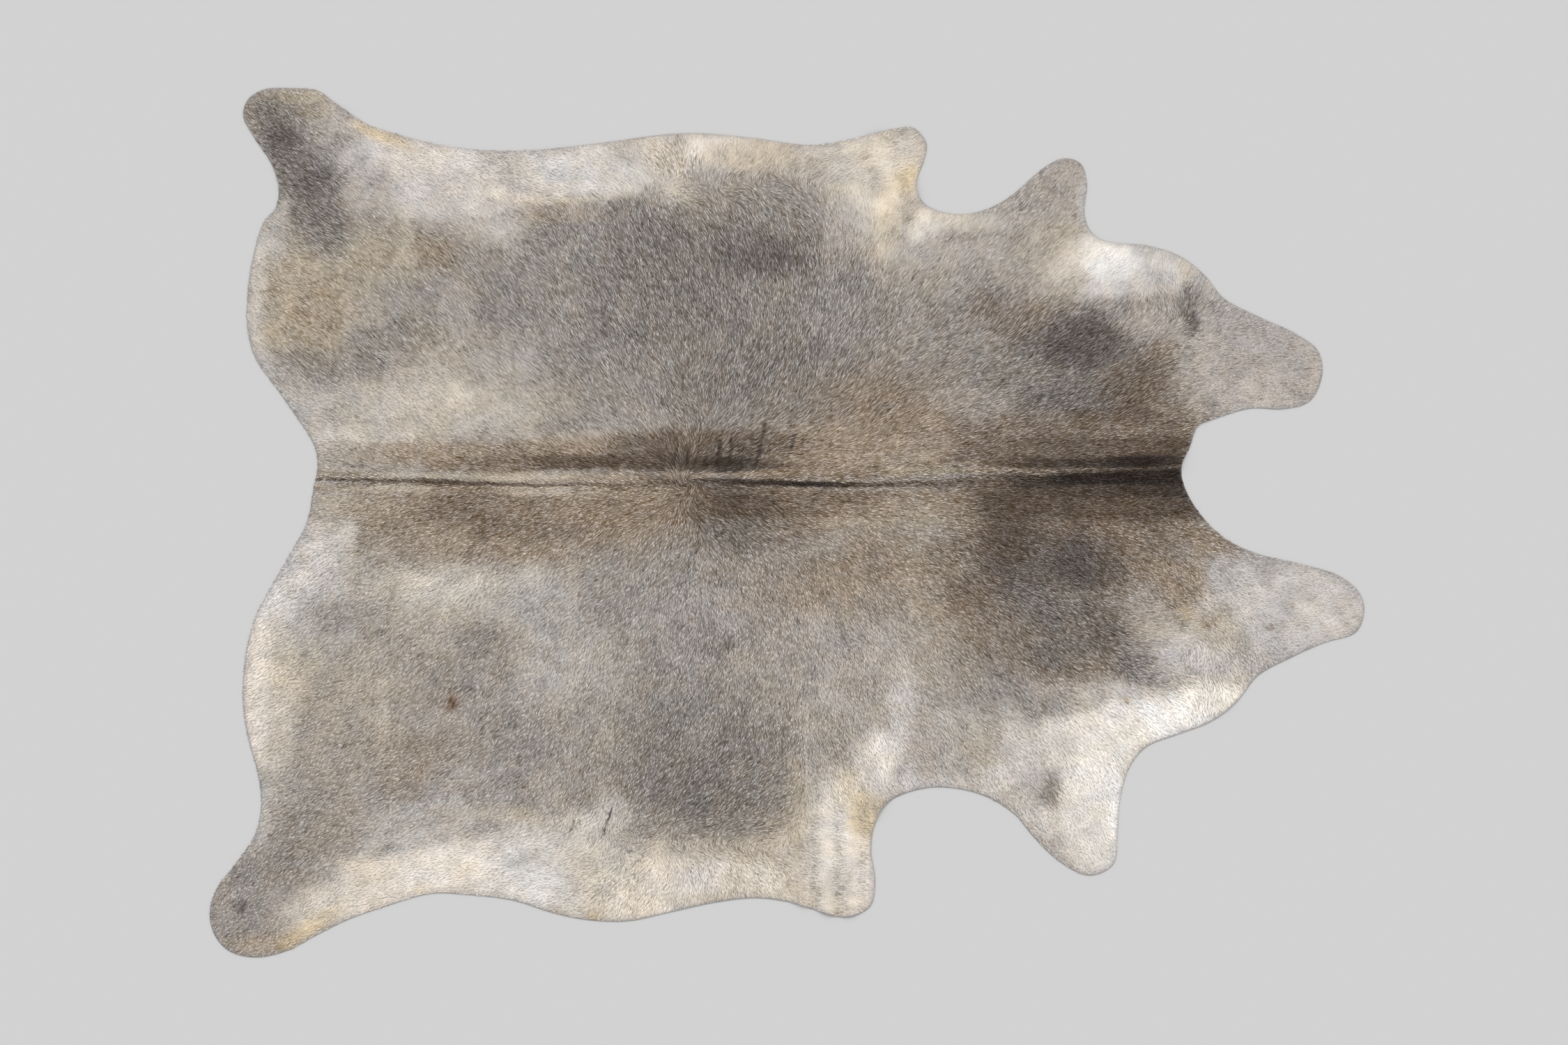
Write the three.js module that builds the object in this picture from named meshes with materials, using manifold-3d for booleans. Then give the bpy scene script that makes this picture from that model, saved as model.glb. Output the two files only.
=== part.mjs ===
// A hair-on cowhide laid flat, hair side up: the whole skin in one piece, with its four shanks,
// two elbow flaps, two cheeks, and the crease down its back where it was once folded.
//
// Millimetres. +X runs from the tail end to the neck, +Y to the hide's first side, +Z up.
// The origin is the middle of the outline's box, on the floor.

import * as THREE from "three";
import { mergeVertices } from "three/addons/utils/BufferGeometryUtils.js";
import Module from "manifold-3d";

// Thickness of the skin and the coat that lies on it
const BACK_THICKNESS = 5.4;
const BELLY_THICKNESS = 3.8;
const BELLY_REACH = 850; // from the backbone to where the hide is thinnest
const FULL_THICKNESS_REACH = 0.35; // the share of that reach that is as thick as the back

// Spacing of the surface's rows and columns
const COARSE_STEP = 52;
const FINE_STEP = 24;
const RIM_STEPS_PER_STATION = 2;
const FOLDED_STRETCH = { from: 1150, to: 1440 }; // the elbow flaps, where the folds are narrow
const ROWS_BY_BACKBONE = [0, 9, 20, 34, 56, 90];
const SURFACE_MARGIN = 60; // how far the surface runs past the outline before it is cut

const CUTTER_BOTTOM = -20;
const CUTTER_HEIGHT = 90;

const COAT_COLOUR = 0x968a80;
const COAT_ROUGHNESS = 0.85;

// The outline, once round from the tail, as stations: how far along the back from the hind end,
// and how far out from the backbone, to the first side (side 1) or the second (side -1).
const OUTLINE = [
  { place: "tail notch", side: 1, stations: [[213, 36], [205, 75]] },
  { place: "rump", side: 1, stations: [[148, 163], [82, 263], [73, 380], [104, 518], [128, 547]] },
  { place: "hock", side: 1, stations: [[135, 591], [121, 636], [86, 690]] },
  {
    place: "hind shank",
    side: 1,
    stations: [
      [63, 735], [74, 768], [107, 787], [160, 789], [213, 784], [254, 755], [312, 717], [358, 701],
    ],
  },
  {
    place: "belly",
    side: 1,
    stations: [[480, 671], [624, 663], [764, 677], [953, 699], [1080, 690], [1205, 675], [1285, 687]],
  },
  { place: "elbow flap", side: 1, stations: [[1373, 708], [1410, 709], [1436, 678], [1431, 644]] },
  { place: "armpit", side: 1, stations: [[1415, 596], [1428, 561], [1469, 540], [1527, 538], [1590, 562]] },
  {
    place: "fore shank",
    side: 1,
    stations: [[1674, 631], [1711, 648], [1745, 638], [1758, 599], [1753, 539]],
  },
  { place: "throat", side: 1, stations: [[1765, 503], [1793, 483], [1884, 472], [1948, 450], [1995, 413]] },
  {
    place: "cheek",
    side: 1,
    stations: [[2032, 368], [2101, 331], [2177, 296], [2221, 263], [2231, 217], [2207, 162], [2155, 145]],
  },
  { place: "jaw", side: 1, stations: [[2087, 146], [2026, 129], [1980, 110], [1966, 74]] },
  { place: "nape", side: 1, stations: [[1948, 32]] },
  { place: "nape", side: -1, stations: [[1953, 9], [1985, 66], [2040, 119], [2107, 148]] },
  {
    place: "cheek",
    side: -1,
    stations: [[2185, 166], [2263, 190], [2304, 223], [2315, 260], [2299, 303], [2234, 325], [2165, 356]],
  },
  {
    place: "throat",
    side: -1,
    stations: [[2102, 391], [2062, 440], [2008, 483], [1941, 509], [1878, 534]],
  },
  {
    place: "fore shank",
    side: -1,
    stations: [[1844, 575], [1825, 639], [1819, 714], [1814, 765], [1792, 785], [1758, 792], [1701, 763]],
  },
  {
    place: "armpit",
    side: -1,
    stations: [[1652, 716], [1610, 667], [1546, 630], [1457, 615], [1387, 630]],
  },
  {
    place: "elbow flap",
    side: -1,
    stations: [[1351, 653], [1331, 695], [1325, 742], [1333, 806], [1322, 856], [1271, 876], [1224, 866]],
  },
  {
    place: "belly",
    side: -1,
    stations: [[1177, 850], [1098, 838], [1016, 846], [918, 867], [837, 884], [757, 882], [687, 868]],
  },
  { place: "flank", side: -1, stations: [[603, 842], [512, 831], [440, 829], [351, 854], [267, 884]] },
  {
    place: "hind shank",
    side: -1,
    stations: [[202, 917], [153, 943], [87, 957], [33, 943], [4, 908], [-3, 860], [13, 815]],
  },
  { place: "hock", side: -1, stations: [[56, 759], [88, 708], [100, 651], [95, 595], [74, 518]] },
  {
    place: "rump",
    side: -1,
    stations: [[64, 448], [68, 357], [89, 273], [126, 203], [171, 125], [192, 84]],
  },
  { place: "tail notch", side: -1, stations: [[204, 21]] },
];

// The crease down the back wanders: how far it lies off the backbone, towards the first side
const BACK_CREASE = [
  { along: 214, off: 6, depth: 1.4 },
  { along: 414, off: -3, depth: 1.6 },
  { along: 582, off: -11, depth: 1.2 },
  { along: 764, off: -11, depth: 0.8 },
  { along: 974, off: -4, depth: 1.2 },
  { along: 1254, off: -1, depth: 1.4 },
  { along: 1530, off: 12, depth: 2.2 },
  { along: 1800, off: 8, depth: 2.8 },
  { along: 1950, off: 8, depth: 2.8 },
];
const BACK_CREASE_REACH = 18;

// Soft folds, each a ridge from one place to another, where the skin lifts off the floor.
// Places are along the back and across it, positive on the first side.
const FOLDS = [
  { name: "welt beside the back crease", from: [960, 14], to: [1530, 34], reach: 30, height: 2.4 },
  { name: "welt at the nape", from: [1640, 36], to: [1960, 36], reach: 32, height: 7 },
  { name: "upper armpit fold, outer", from: [1420, 590], to: [1376, 539], reach: 34, height: 6 },
  { name: "upper armpit fold, inner", from: [1376, 539], to: [1388, 460], reach: 34, height: 5 },
  { name: "upper elbow fold", from: [1330, 700], to: [1376, 560], reach: 36, height: 4 },
  { name: "lower armpit fold", from: [1345, -670], to: [1327, -520], reach: 34, height: 5 },
  { name: "first ripple in the elbow flap", from: [1177, -600], to: [1186, -870], reach: 27, height: 4 },
  { name: "second ripple in the elbow flap", from: [1231, -590], to: [1236, -890], reach: 27, height: 5 },
  { name: "third ripple in the elbow flap", from: [1286, -640], to: [1284, -880], reach: 27, height: 4 },
  { name: "upper flank pocket", from: [590, 600], to: [700, 610], reach: 75, height: 5 },
  { name: "lower flank pocket", from: [640, -735], to: [790, -745], reach: 85, height: 6 },
  { name: "upper cheek crease", from: [1940, 372], to: [1956, 270], reach: 50, height: 4 },
  { name: "lower cheek crease", from: [1985, -265], to: [2024, -434], reach: 55, height: 5 },
  { name: "upper shank crease", from: [170, 620], to: [250, 720], reach: 60, height: 4 },
  { name: "lower shank crease", from: [150, -760], to: [70, -850], reach: 60, height: 4 },
];

const clamp01 = (value) => Math.min(1, Math.max(0, value));

// A smooth step from 0 to 1 as the value goes from low to high
function ease(low, high, value) {
  const share = clamp01((value - low) / (high - low));
  return share * share * (3 - 2 * share);
}

// The rounded section of a fold or crease: 1 on its line, 0 at its reach and past it
function roundedSection(distance, reach) {
  if (distance >= reach) {
    return 0;
  }
  return 0.5 + 0.5 * Math.cos((Math.PI * distance) / reach);
}

function outlineStations() {
  return OUTLINE.flatMap(({ side, stations }) =>
    stations.map(([along, out]) => new THREE.Vector3(along, side * out, 0)),
  );
}

// The value of one column of the back crease's table, at a place along the back
function backCreaseAt(along, column) {
  const after = BACK_CREASE.findIndex((row) => row.along > along);
  if (after === 0) {
    return BACK_CREASE[0][column];
  }
  if (after < 0) {
    return BACK_CREASE[BACK_CREASE.length - 1][column];
  }
  const start = BACK_CREASE[after - 1];
  const end = BACK_CREASE[after];
  return THREE.MathUtils.lerp(start[column], end[column], ease(start.along, end.along, along));
}

function distanceToFold(fold, along, across) {
  const start = new THREE.Vector2(...fold.from);
  const run = new THREE.Vector2(...fold.to).sub(start);
  const place = new THREE.Vector2(along, across).sub(start);
  const share = clamp01(place.dot(run) / run.lengthSq());
  return place.sub(run.multiplyScalar(share)).length();
}

// How high the skin's underside stands off the floor
function lift(along, across) {
  const heights = FOLDS.map(
    (fold) => fold.height * roundedSection(distanceToFold(fold, along, across), fold.reach),
  );
  return Math.max(0, ...heights);
}

// Skin and coat together, thinner towards the belly and pressed in along the back crease
function thickness(along, across) {
  const belly = ease(FULL_THICKNESS_REACH, 1, Math.abs(across) / BELLY_REACH);
  const full = THREE.MathUtils.lerp(BACK_THICKNESS, BELLY_THICKNESS, belly);
  const fromCrease = Math.abs(across - backCreaseAt(along, "off"));
  return full - backCreaseAt(along, "depth") * roundedSection(fromCrease, BACK_CREASE_REACH);
}

// Even steps from low to high, as near to the wanted step as whole ones come
function evenSteps(low, high, wantedStep) {
  const count = Math.max(1, Math.round((high - low) / wantedStep));
  return Array.from({ length: count }, (_, index) => low + ((high - low) * index) / count);
}

function columnPlaces(box) {
  return [
    ...evenSteps(box.min.x - SURFACE_MARGIN, FOLDED_STRETCH.from, COARSE_STEP),
    ...evenSteps(FOLDED_STRETCH.from, FOLDED_STRETCH.to, FINE_STEP),
    ...evenSteps(FOLDED_STRETCH.to, box.max.x + SURFACE_MARGIN, COARSE_STEP),
    box.max.x + SURFACE_MARGIN,
  ];
}

// Rows lie close together by the back crease and wide apart on the flanks
function rowPlaces(box) {
  const reach = Math.max(-box.min.y, box.max.y) + SURFACE_MARGIN;
  const lastFineRow = ROWS_BY_BACKBONE[ROWS_BY_BACKBONE.length - 1];
  const outward = [...ROWS_BY_BACKBONE, ...evenSteps(lastFineRow, reach, COARSE_STEP).slice(1), reach];
  const inward = outward.slice(1).reverse();
  return [...inward.map((place) => -place), ...outward];
}

// A closed slab over the whole box of the outline, its rows bent to follow the back crease,
// with the underside on the floor but for the folds
function foldedSurface(box) {
  const columns = columnPlaces(box);
  const rows = rowPlaces(box);
  const layer = columns.length * rows.length;
  const positions = new Float32Array(layer * 2 * 3);
  columns.forEach((along, column) => {
    rows.forEach((off, row) => {
      const across = off + backCreaseAt(along, "off");
      const underside = lift(along, across);
      const top = underside + thickness(along, across);
      const index = column * rows.length + row;
      positions.set([along, across, underside], index * 3);
      positions.set([along, across, top], (layer + index) * 3);
    });
  });

  const faces = [];
  const addQuad = (a, b, c, d) => faces.push(a, b, c, a, c, d);
  for (let column = 0; column < columns.length - 1; column += 1) {
    for (let row = 0; row < rows.length - 1; row += 1) {
      const corner = column * rows.length + row;
      const across = corner + rows.length;
      addQuad(layer + corner, layer + across, layer + across + 1, layer + corner + 1);
      addQuad(corner, corner + 1, across + 1, across);
    }
  }
  const lastColumn = (columns.length - 1) * rows.length;
  for (let row = 0; row < rows.length - 1; row += 1) {
    addQuad(row, layer + row, layer + row + 1, row + 1);
    const end = lastColumn + row;
    addQuad(end, end + 1, layer + end + 1, layer + end);
  }
  for (let column = 0; column < columns.length - 1; column += 1) {
    const near = column * rows.length;
    addQuad(near, near + rows.length, layer + near + rows.length, layer + near);
    const far = near + rows.length - 1;
    addQuad(far, layer + far, layer + far + rows.length, far + rows.length);
  }

  const geometry = new THREE.BufferGeometry();
  geometry.setAttribute("position", new THREE.BufferAttribute(positions, 3));
  geometry.setIndex(faces);
  return geometry;
}

// An upright block in the shape of the outline
function outlineBlock(rim) {
  const shape = new THREE.Shape(rim.map((point) => new THREE.Vector2(point.x, point.y)));
  const block = new THREE.ExtrudeGeometry(shape, { depth: CUTTER_HEIGHT, bevelEnabled: false });
  block.translate(0, 0, CUTTER_BOTTOM);
  block.deleteAttribute("normal");
  block.deleteAttribute("uv");
  return mergeVertices(block);
}

function toSolid(wasm, geometry) {
  const mesh = new wasm.Mesh({
    numProp: 3,
    vertProperties: Float32Array.from(geometry.getAttribute("position").array),
    triVerts: Uint32Array.from(geometry.getIndex().array),
  });
  return new wasm.Manifold(mesh);
}

function toGeometry(solid) {
  const mesh = solid.getMesh();
  const geometry = new THREE.BufferGeometry();
  geometry.setAttribute("position", new THREE.BufferAttribute(mesh.vertProperties, 3));
  geometry.setIndex(new THREE.BufferAttribute(mesh.triVerts, 1));
  return geometry;
}

const wasm = await Module();
wasm.setup();

const stations = outlineStations();
const outlineCurve = new THREE.CatmullRomCurve3(stations, true, "centripetal");
const rim = outlineCurve.getPoints(stations.length * RIM_STEPS_PER_STATION).slice(0, -1);
const outlineBox = new THREE.Box3().setFromPoints(rim);
const middle = outlineBox.getCenter(new THREE.Vector3());

const surface = toSolid(wasm, foldedSurface(outlineBox));
const cutHide = surface.intersect(toSolid(wasm, outlineBlock(rim)));
const hideGeometry = toGeometry(cutHide);
hideGeometry.translate(-middle.x, -middle.y, 0);
hideGeometry.computeVertexNormals();

const coat = new THREE.MeshStandardMaterial({
  color: COAT_COLOUR,
  roughness: COAT_ROUGHNESS,
  metalness: 0,
});

const hide = new THREE.Mesh(hideGeometry, coat);
hide.name = "hide";

const cowhide = new THREE.Group();
cowhide.name = "cowhide";
cowhide.add(hide);

export default cowhide;
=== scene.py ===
"""A hair-on cowhide laid flat as a rug: its skin, its coat of short lying hair, and a plain stage.

Places on the hide are given as a tanner measures them, in millimetres: how far along the back from the
hind end, and how far across from the backbone, positive on the first side (+Y) and negative on the second.
"""

import math

import bpy
import numpy as np
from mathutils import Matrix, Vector, geometry, kdtree


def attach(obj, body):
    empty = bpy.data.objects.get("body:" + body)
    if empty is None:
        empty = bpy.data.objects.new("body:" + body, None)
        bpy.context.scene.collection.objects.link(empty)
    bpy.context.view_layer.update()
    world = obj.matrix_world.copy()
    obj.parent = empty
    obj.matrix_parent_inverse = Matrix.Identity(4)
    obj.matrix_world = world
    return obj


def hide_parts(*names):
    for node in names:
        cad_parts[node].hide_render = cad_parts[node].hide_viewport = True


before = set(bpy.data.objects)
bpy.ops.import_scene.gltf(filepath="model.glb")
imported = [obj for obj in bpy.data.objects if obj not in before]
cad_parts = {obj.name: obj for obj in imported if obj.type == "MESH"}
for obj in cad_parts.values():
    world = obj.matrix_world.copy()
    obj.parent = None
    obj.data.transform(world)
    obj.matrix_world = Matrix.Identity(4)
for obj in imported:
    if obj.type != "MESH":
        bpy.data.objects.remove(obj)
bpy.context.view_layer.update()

bl_info = {
    "name": "Cowhide Rug",
    "version": (1, 0, 0),
    "blender": (4, 5, 0),
    "location": "View3D > Sidebar > Cowhide",
    "description": "Builds a hair-on cowhide rug: skin, coat and stage",
    "category": "Object",
}

MM = 0.001

# The outline once round from the tail, as in the hide's source: its place on the hide, its side, and
# stations of how far along and how far out from the backbone
OUTLINE = [
    ("tail notch", 1, [(213, 36), (205, 75)]),
    ("rump", 1, [(148, 163), (82, 263), (73, 380), (104, 518), (128, 547)]),
    ("hock", 1, [(135, 591), (121, 636), (86, 690)]),
    ("hind shank", 1, [(63, 735), (74, 768), (107, 787), (160, 789), (213, 784), (254, 755), (312, 717),
    (358, 701)]),
    ("belly", 1, [(480, 671), (624, 663), (764, 677), (953, 699), (1080, 690), (1205, 675), (1285, 687)]),
    ("elbow flap", 1, [(1373, 708), (1410, 709), (1436, 678), (1431, 644)]),
    ("armpit", 1, [(1415, 596), (1428, 561), (1469, 540), (1527, 538), (1590, 562)]),
    ("fore shank", 1, [(1674, 631), (1711, 648), (1745, 638), (1758, 599), (1753, 539)]),
    ("throat", 1, [(1765, 503), (1793, 483), (1884, 472), (1948, 450), (1995, 413)]),
    ("cheek", 1, [(2032, 368), (2101, 331), (2177, 296), (2221, 263), (2231, 217), (2207, 162),
    (2155, 145)]),
    ("jaw", 1, [(2087, 146), (2026, 129), (1980, 110), (1966, 74)]),
    ("nape", 1, [(1948, 32)]),
    ("nape", -1, [(1953, 9), (1985, 66), (2040, 119), (2107, 148)]),
    ("cheek", -1, [(2185, 166), (2263, 190), (2304, 223), (2315, 260), (2299, 303), (2234, 325),
    (2165, 356)]),
    ("throat", -1, [(2102, 391), (2062, 440), (2008, 483), (1941, 509), (1878, 534)]),
    ("fore shank", -1, [(1844, 575), (1825, 639), (1819, 714), (1814, 765), (1792, 785), (1758, 792),
    (1701, 763)]),
    ("armpit", -1, [(1652, 716), (1610, 667), (1546, 630), (1457, 615), (1387, 630)]),
    ("elbow flap", -1, [(1351, 653), (1331, 695), (1325, 742), (1333, 806), (1322, 856), (1271, 876),
    (1224, 866)]),
    ("belly", -1, [(1177, 850), (1098, 838), (1016, 846), (918, 867), (837, 884), (757, 882), (687, 868)]),
    ("flank", -1, [(603, 842), (512, 831), (440, 829), (351, 854), (267, 884)]),
    ("hind shank", -1, [(202, 917), (153, 943), (87, 957), (33, 943), (4, 908), (-3, 860), (13, 815)]),
    ("hock", -1, [(56, 759), (88, 708), (100, 651), (95, 595), (74, 518)]),
    ("rump", -1, [(64, 448), (68, 357), (89, 273), (126, 203), (171, 125), (192, 84)]),
    ("tail notch", -1, [(204, 21)]),
]
RIM_STEPS = 8  # rim points between two stations
BOX_STEPS = 2  # the steps from which the source takes the middle of the outline's box

# The crease down the back: along, how far off the backbone, and how deep it is pressed into the coat
BACK_CREASE = [
    (214, 6, 1.4), (414, -3, 1.6), (582, -11, 1.2), (764, -11, 0.8), (974, -4, 1.2), (1254, -1, 1.4),
    (1530, 12, 2.2), (1800, 8, 2.8), (1950, 8, 2.8),
]
BACK_CREASE_REACH = 18  # to each side
SKIN_GROOVE = 0.9  # how deep the skin itself is pressed in there

# Bands of lighter and darker hair that run along the back beside the crease, each laid over those before it:
# along, across, half width, tone. Some are painted light and shade: the crease's dark line is painted shade,
# and the bands on the welt above it carry a painted highlight and painted shade
BACK_BANDS = {
    "hair beside the back, first side": [
        (200, 56, 18, "warm grey"), (420, 56, 18, "fawn"), (700, 58, 20, "light brown"),
        (900, 62, 28, "dark brown"), (1080, 64, 32, "dark brown"), (1250, 60, 30, "light brown"),
        (1420, 54, 28, "fawn"), (1560, 60, 26, "dark brown"), (1950, 62, 22, "umber"),
    ],
    "hair beside the back, second side": [
        (200, -50, 22, "warm grey"), (360, -50, 24, "fawn"), (480, -52, 28, "brown"),
        (700, -54, 30, "light brown"), (900, -52, 26, "light brown"), (1040, -44, 26, "umber"),
        (1220, -48, 24, "brown"), (1420, -46, 24, "fawn"), (1600, -44, 28, "umber"),
        (1950, -50, 22, "umber"),
    ],
    # Partly darker hair, partly painted shade on the far side of the welt beside the crease
    "dark hair and painted shade above the crease": [
        (440, 32, 10, "light brown"), (600, 33, 15, "brown"), (720, 36, 13, "umber"),
        (900, 33, 13, "umber"), (1040, 30, 13, "soot"), (1160, 27, 8, "dark brown"),
        (1260, 24, 5, "light brown"), (1500, 36, 4, "light brown"), (1600, 36, 11, "umber"),
        (1740, 33, 10, "soot"), (1860, 37, 13, "black"), (1955, 36, 12, "soot"),
    ],
    "hair below the crease": [
        (200, -14, 8, "fawn"), (380, -13, 6, "beige"), (500, -16, 6, "light brown"), (660, -18, 9, "beige"),
        (900, -20, 9, "light brown"), (1030, -18, 6, "dark brown"), (1240, -30, 9, "brown"),
        (1450, -28, 9, "light brown"), (1600, -20, 13, "umber"), (1950, -18, 13, "soot"),
    ],
    # Partly lighter hair, partly a painted highlight on the welt beside the crease
    "light hair and painted highlight above the crease": [
        (200, 15, 8, "fawn"), (420, 9, 5, "beige"), (650, 5, 9, "beige"), (800, 3, 7, "fawn"),
        (920, 2, 6, "brown"), (980, 12, 3, "light brown"), (1260, 17, 12, "light brown"),
        (1460, 18, 5, "khaki"), (1560, 21, 5, "light brown"), (1700, 20, 5, "brown"),
        (1850, 22, 4, "umber"), (1955, 27, 4, "dark brown"),
    ],
    # Painted shade: the dark line where the coat is pressed into the back crease
    "crease": [
        (205, 4, 1.6, "dark brown"), (360, 1, 2.4, "dark brown"), (450, -2, 4.5, "umber"),
        (540, -6, 3.2, "umber"), (660, -9, 1.8, "dark brown"), (860, -9, 2, "brown"),
        (960, -4, 8, "dark brown"), (1080, -3, 4.5, "soot"), (1200, -7, 5, "black"), (1320, -7, 4, "umber"),
        (1440, -6, 6, "dark brown"), (1560, -3, 12, "dark brown"), (1640, -2, 11, "soot"),
        (1740, 4, 11, "black"), (1955, 8, 15, "black"),
    ],
}
BAND_SHARE = 0.9  # how far a band's tone takes the place of the patches under it
BAND_EDGE = (0.6, 1.6)  # where a band's soft edge starts and ends, as shares of its half width
BAND_START = (-20, 10)  # where a band fades in, from its first row
BAND_WANDER = (30, 1.2)  # how a band's line wanders: over about how many millimetres, and how far

# Soft folds: name, from and to as (along, across), how far they reach to each side, and their height
FOLDS = [
    ("welt beside the back crease", (960, 14), (1530, 34), 30, 2.4),
    ("welt at the nape", (1640, 36), (1960, 36), 32, 7),
    ("upper armpit fold, outer", (1420, 590), (1376, 539), 34, 6),
    ("upper armpit fold, inner", (1376, 539), (1388, 460), 34, 5),
    ("upper elbow fold", (1330, 700), (1376, 560), 36, 4),
    ("lower armpit fold", (1345, -670), (1327, -520), 34, 5),
    ("first ripple in the elbow flap", (1177, -600), (1186, -870), 27, 4),
    ("second ripple in the elbow flap", (1231, -590), (1236, -890), 27, 5),
    ("third ripple in the elbow flap", (1286, -640), (1284, -880), 27, 4),
    ("upper flank pocket", (590, 600), (700, 610), 75, 5),
    ("lower flank pocket", (640, -735), (790, -745), 85, 6),
    ("upper cheek crease", (1940, 372), (1956, 270), 50, 4),
    ("lower cheek crease", (1985, -265), (2024, -434), 55, 5),
    ("upper shank crease", (170, 620), (250, 720), 60, 4),
    ("lower shank crease", (150, -760), (70, -850), 60, 4),
]

# Fine creases across the back, drawn only as lines of painted shade that darken the coat's tone towards
# black, with no fold in the skin: from and to as (along, across), half width, how dark
FINE_CREASE_SHADES = [
    ((1107, 112), (1098, 70), 2.8, 0.6), ((1098, 70), (1086, 25), 3.2, 0.75),
    ((1082, 90), (1076, 38), 2.6, 0.6), ((1064, 70), (1060, 25), 2.6, 0.6),
    ((1040, 84), (1036, 30), 3.0, 0.7), ((1018, 78), (1012, 28), 3.2, 0.75),
    ((990, 62), (986, 26), 2.4, 0.5), ((974, 66), (970, 32), 2.4, 0.5), ((958, 66), (952, 30), 3.0, 0.6),
    ((936, 60), (931, 32), 2.4, 0.5), ((1166, 92), (1160, 60), 3.0, 0.7),
    ((1186, 90), (1184, 70), 2.2, 0.45), ((806, -651), (785, -714), 2.0, 0.55),
    ((730, -680), (724, -700), 2.4, 0.55), ((742, -676), (738, -692), 1.8, 0.35),
    ((270, -529), (326, -519), 1.2, 0.4), ((1549, -278), (1570, -284), 1.2, 0.35),
]
PALE_SCRATCHES = [
    ((267, 364), (274, 266), 1.8, 0.35), ((1111, -406), (1111, -546), 2.0, 0.25),
    ((813, -434), (813, -476), 2.0, 0.25), ((1196, -448), (1194, -616), 2.2, 0.25),
    ((1260, -560), (1262, -860), 3.5, 0.3),
]

BACK_THICKNESS = 5.4  # skin and coat together
BELLY_THICKNESS = 3.8
BELLY_REACH = 850  # how far from the back the coat is as thin as on the belly
FULL_THICKNESS_REACH = 0.35  # the share of that reach over which it is as thick as on the back

# Which way the hair lies, on either side of the back: along, out from the backbone, and the heading of its
# tips in degrees, where 0 is towards the tail, 90 straight out from the backbone and 180 towards the neck
LAY_BOTH_SIDES = [
    (180, 15, 6), (200, 280, 36), (140, 420, 30), (180, 630, 32), (414, 15, 14), (414, 140, 27),
    (414, 350, 45), (414, 540, 36), (554, 15, 14), (554, 210, 40), (554, 420, 50), (700, 15, 14),
    (764, 140, 45), (764, 350, 60), (860, 15, 16), (925, 140, 60), (925, 350, 72), (1044, 15, 165),
    (1044, 60, 140), (1044, 210, 105), (1044, 350, 78), (1114, 15, 170), (1114, 70, 150), (1114, 210, 115),
    (1114, 420, 80), (1184, 15, 175), (1184, 280, 100), (1184, 420, 86), (1290, 15, 175), (1290, 140, 140),
    (1290, 280, 120), (1290, 420, 105), (1464, 15, 176), (1464, 210, 150), (1464, 420, 130),
    (1464, 560, 128), (1600, 370, 137), (1640, 15, 176), (1640, 170, 156), (1640, 480, 134),
    (1814, 15, 178), (1814, 170, 152), (1814, 420, 141), (1930, 60, 170),
]
LAY_FIRST_SIDE = [
    (554, 560, 40), (480, 640, 20), (600, 640, 17), (694, 616, 12), (764, 540, 64), (764, 616, 20),
    (834, 630, 30), (876, 567, 68), (876, 658, 45), (897, 581, 85), (918, 637, 52), (925, 520, 66),
    (960, 616, 80), (974, 588, 8), (974, 665, 95), (1002, 623, 115), (1051, 616, 135), (1044, 530, 62),
    (1058, 588, 12), (1058, 665, 105), (1100, 630, 130), (1128, 665, 115), (1114, 540, 60), (1142, 595, 12),
    (1156, 637, 135), (1184, 560, 44), (1198, 637, 150), (1240, 644, 168), (1290, 560, 84),
    (1310, 616, 165), (1390, 640, 165), (1933, 355, 62), (1968, 365, 120), (2010, 308, 150),
    (2038, 266, 175), (1954, 266, 178), (1900, 280, 140), (2100, 230, 180), (1990, 400, 118),
    (200, 740, 34),
]
LAY_SECOND_SIDE = [
    (414, 504, 42), (372, 616, 32), (554, 600, 44), (540, 760, 16), (400, 790, 20), (764, 560, 66),
    (764, 640, 60), (904, 640, 55), (1044, 640, 48), (1114, 640, 40), (974, 700, 22), (1058, 693, 25),
    (1114, 700, 14), (890, 707, 30), (918, 735, 125), (974, 742, 135), (1030, 749, 140), (1086, 756, 140),
    (1142, 770, 138), (1184, 756, 155), (1044, 780, 122), (1114, 790, 125), (974, 798, 92), (1044, 820, 95),
    (904, 798, 62), (869, 752, 56), (834, 826, 58), (792, 812, 50), (764, 770, 20), (736, 826, 15),
    (694, 770, 8), (813, 700, 75), (778, 680, 60), (1254, 714, 172), (1230, 820, 176), (1290, 600, 120),
    (1300, 780, 170), (1926, 224, 137), (1898, 287, 175), (1954, 294, 180), (2010, 280, 140),
    (2031, 336, 125), (1982, 364, 65), (2017, 434, 95), (2045, 420, 130), (1954, 399, 150),
    (1900, 380, 160), (2150, 231, 180), (2220, 250, 180), (1780, 650, 128), (150, 800, 40), (120, 880, 36),
]
LAY_SHARPNESS = 4.0  # how quickly one reading gives way to the next
LAY_SOFTNESS = 90.0  # square millimetres over which it does so more softly

# Whorls, where the hair turns round one point: name, along, across, reach, turn away from straight outwards
WHORLS = [
    ("crown whorl on the back", 957, -4, 46, -62),
    ("belly whorl, second side", 841, -727, 42, 72),
    ("belly whorl, first side", 926, 588, 34, -60),
]
WHORL_CORE = 0.35  # the share of a whorl's reach over which it has its full turn

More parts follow.
